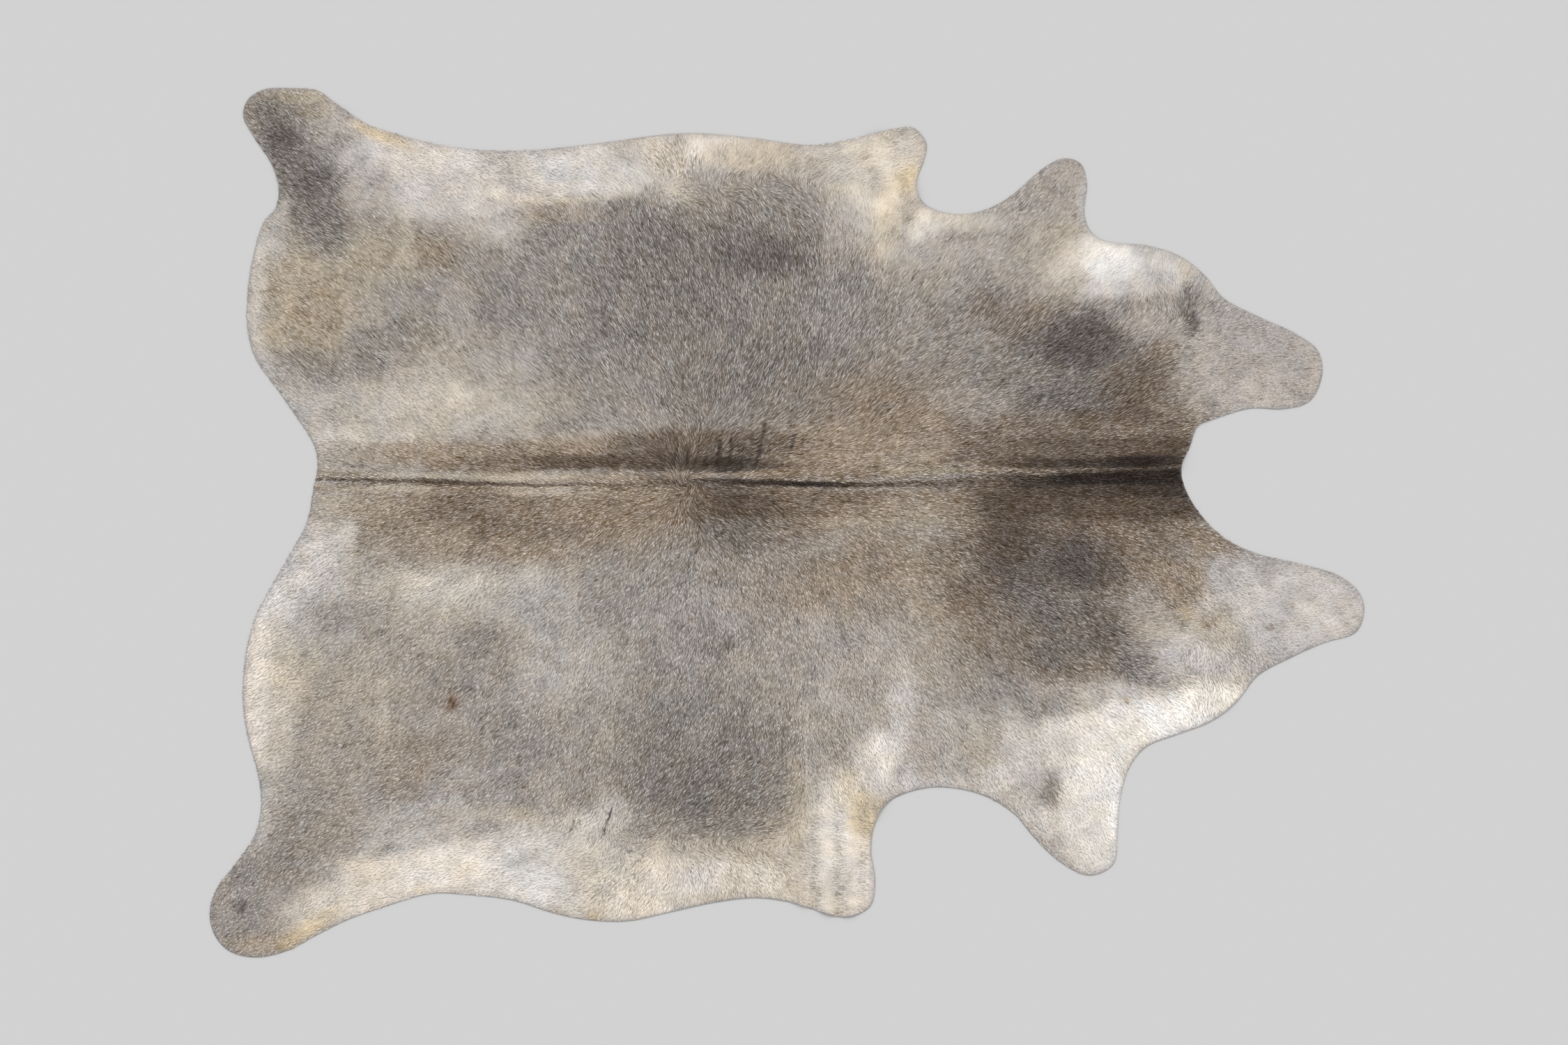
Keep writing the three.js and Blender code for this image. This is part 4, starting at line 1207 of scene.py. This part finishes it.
def lock_tones(full_brightness, roots, seen, pale, draw):
    """Each lock's tone at its four corners, as light, with painted shade at its root and, on dark hair,
    painted light at its tip.
    """
    clump = 1 + between(CLUMPING, pale) * wander(roots, CLUMP_SIZE, CLUMP_SEED)
    uneven = between(UNEVENNESS, pale) + TUFT_UNEVENNESS * in_ovals(roots, TUFTS)
    lightness = np.minimum(draw.normal(USUAL_LOCK, 1, len(roots)), LIGHTEST_LOCK)
    value = (np.exp(lightness * uneven) * clump)[:, None]
    light = to_linear(np.clip(seen * value, 0, 1)) * full_brightness * between(BRIGHTNESS, pale)[:, None]
    light *= 1 + draw.normal(0, OWN_WARMTH, (len(roots), 1)) * WARMER_LOCK
    colourless = light.mean(1)[:, None]
    tint = (light - colourless) * value ** TINT_LOSS
    plain = (1.0, 1.0)
    # Roots darkened as painted shade, tips of dark hair lightened as painted light
    root, middle, tip = (
        (colourless + tint * between(tint_pair, pale)[:, None]) * between(tone_pair, pale)[:, None]
        for tint_pair, tone_pair in ((ROOT_TINT, ROOT_TONE), (plain, MIDDLE_TONE), (TIP_TINT, TIP_TONE))
    )
    return np.clip(np.stack([root, root, middle, tip], 1), 0, LIGHTEST_HAIR)


class HIDE_OT_coat(bpy.types.Operator):
    """Adds the coat, in pieces from the rump to the neck, each of many closed locks of lying hair"""

    bl_idname = "hide.coat"
    bl_label = "Add Coat"

    def execute(self, context):
        sizes, colours = context.scene.hide_sizes, context.scene.hide_colours
        draw = np.random.default_rng(sizes.seed)
        roots, ways, lengths = grow_locks(sizes, draw)
        seen = tones(roots)
        pale = ease(*PALE_HAIR, seen.mean(1))
        corners = lock_corners(sizes, roots, ways, lengths, pale, draw)
        shades = lock_tones(colours.brightness, roots, seen, pale, draw)
        lots = draw.uniform(0, 1, len(roots))
        grain = between(FINE_HAIRS, pale)
        material = coat_material()
        for name, start, end in COAT_PIECES:
            part = (roots[:, 0] >= start) & (roots[:, 0] < end)
            piece = self.add_locks(name, corners[part], shades[part], lots[part], grain[part])
            piece.data.materials.append(material)
            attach(piece, "root")
            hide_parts("hide")
        return {"FINISHED"}

    def add_locks(self, name, corners, shades, lots, grain):
        """One piece of the coat, with all that its material reads."""
        count = len(corners)
        faces = (4 * np.arange(count)[:, None] + LOCK_FACES).reshape(-1, 3)
        piece = add_mesh(name, corners.reshape(-1, 3), faces)
        add_tones(piece, shades.reshape(-1, 3))
        strand = np.column_stack([np.tile(LOCK_STRAND, (count, 1)), np.repeat(lots, 4)])
        add_point_values(piece, "strand", "FLOAT_VECTOR", "vector", strand)
        add_point_values(piece, "grain", "FLOAT", "value", np.repeat(grain, 4))
        self.map_for_baking(piece, count)
        return piece

    def map_for_baking(self, piece, count):
        """Each lock has its own small cell: its upper faces as seen from above, its underside beside them."""
        across = math.ceil(math.sqrt(count))
        cells = np.arange(count)
        origin = np.stack([cells % across, cells // across], 1)[:, None, :]
        left, right, ridge, tip = (0.22, 0.08), (0.94, 0.08), (0.58, 0.34), (0.58, 0.94)
        under_left, under_tip, under_right = (0.05, 0.08), (0.10, 0.94), (0.16, 0.08)
        pattern = np.array([left, ridge, tip, right, tip, ridge, left, right, ridge,
                            under_left, under_tip, under_right])
        add_bake_map(piece, ((origin + pattern) / across).reshape(-1, 2))


class HIDE_OT_stage(bpy.types.Operator):
    """Adds the plain pale floor, the soft light and the camera straight above"""

    bl_idname = "hide.stage"
    bl_label = "Add Stage"

    def execute(self, context):
        settings = context.scene.hide_stage
        bpy.ops.object.select_all(action="DESELECT")
        bpy.ops.mesh.primitive_plane_add(size=settings.floor_width, location=(0, 0, 0))
        floor = context.object
        floor.name = "floor"
        material, shader, _ = new_material("pale floor")
        floor_light = [float(part) for part in to_linear(np.array(settings.floor_colour))]
        shader.inputs["Base Color"].default_value = (*floor_light, 1.0)
        shader.inputs["Roughness"].default_value = FLOOR_ROUGHNESS
        shader.inputs["Specular IOR Level"].default_value = 0.0
        floor.data.materials.append(material)

        world = bpy.data.worlds.new("even light")
        context.scene.world = world
        world.use_nodes = True
        sky = world.node_tree.nodes["Background"]
        sky.inputs["Color"].default_value = (1.0, 1.0, 1.0, 1.0)
        sky.inputs["Strength"].default_value = settings.sky

        key = bpy.data.lights.new("soft key", "SUN")
        key.energy = settings.key
        key.angle = settings.key_spread
        key_light = bpy.data.objects.new("soft key", key)
        key_light.rotation_euler = Vector(settings.key_from).to_track_quat("Z", "Y").to_euler()
        context.scene.collection.objects.link(key_light)

        camera = bpy.data.cameras.new("camera")
        camera.lens = settings.lens
        camera.sensor_width = SENSOR_WIDTH
        camera.clip_end = FURTHEST_VIEW
        holder = bpy.data.objects.new("camera", camera)
        height = settings.view_width * settings.lens / SENSOR_WIDTH
        holder.location = (settings.view_middle, 0.0, height)
        context.scene.collection.objects.link(holder)
        context.scene.camera = holder
        context.scene.view_settings.view_transform = "Standard"
        return {"FINISHED"}


class HIDE_PT_panel(bpy.types.Panel):
    """The steps that build the hide, and its sizes and colours"""

    bl_idname = "HIDE_PT_panel"
    bl_label = "Cowhide Rug"
    bl_space_type = "VIEW_3D"
    bl_region_type = "UI"
    bl_category = "Cowhide"

    def draw(self, context):
        for step in STEPS:
            self.layout.operator(step.bl_idname)
        for settings in (context.scene.hide_sizes, context.scene.hide_colours, context.scene.hide_stage):
            box = self.layout.box()
            for name in settings.__annotations__:
                box.prop(settings, name)


EDGE = EdgeMap(RIM)
STEPS = (HIDE_OT_skin, HIDE_OT_coat, HIDE_OT_stage)
GROUPS = {"hide_sizes": HideSizes, "hide_colours": HideColours, "hide_stage": StageSettings}


def register():
    for group in (*GROUPS.values(), *STEPS, HIDE_PT_panel):
        bpy.utils.register_class(group)
    for name, group in GROUPS.items():
        setattr(bpy.types.Scene, name, bpy.props.PointerProperty(type=group))


def unregister():
    for name in GROUPS:
        delattr(bpy.types.Scene, name)
    for group in reversed((*GROUPS.values(), *STEPS, HIDE_PT_panel)):
        bpy.utils.unregister_class(group)


def main():
    register()
    bpy.ops.hide.skin()
    bpy.ops.hide.coat()
    bpy.ops.hide.stage()
    low, high = RIM.min(0) * MM, RIM.max(0) * MM
    length, width = float(high[0] - low[0]), float(high[1] - low[1])
    area = abs(rim_area()) * MM * MM


if __name__ == "__main__":
    main()
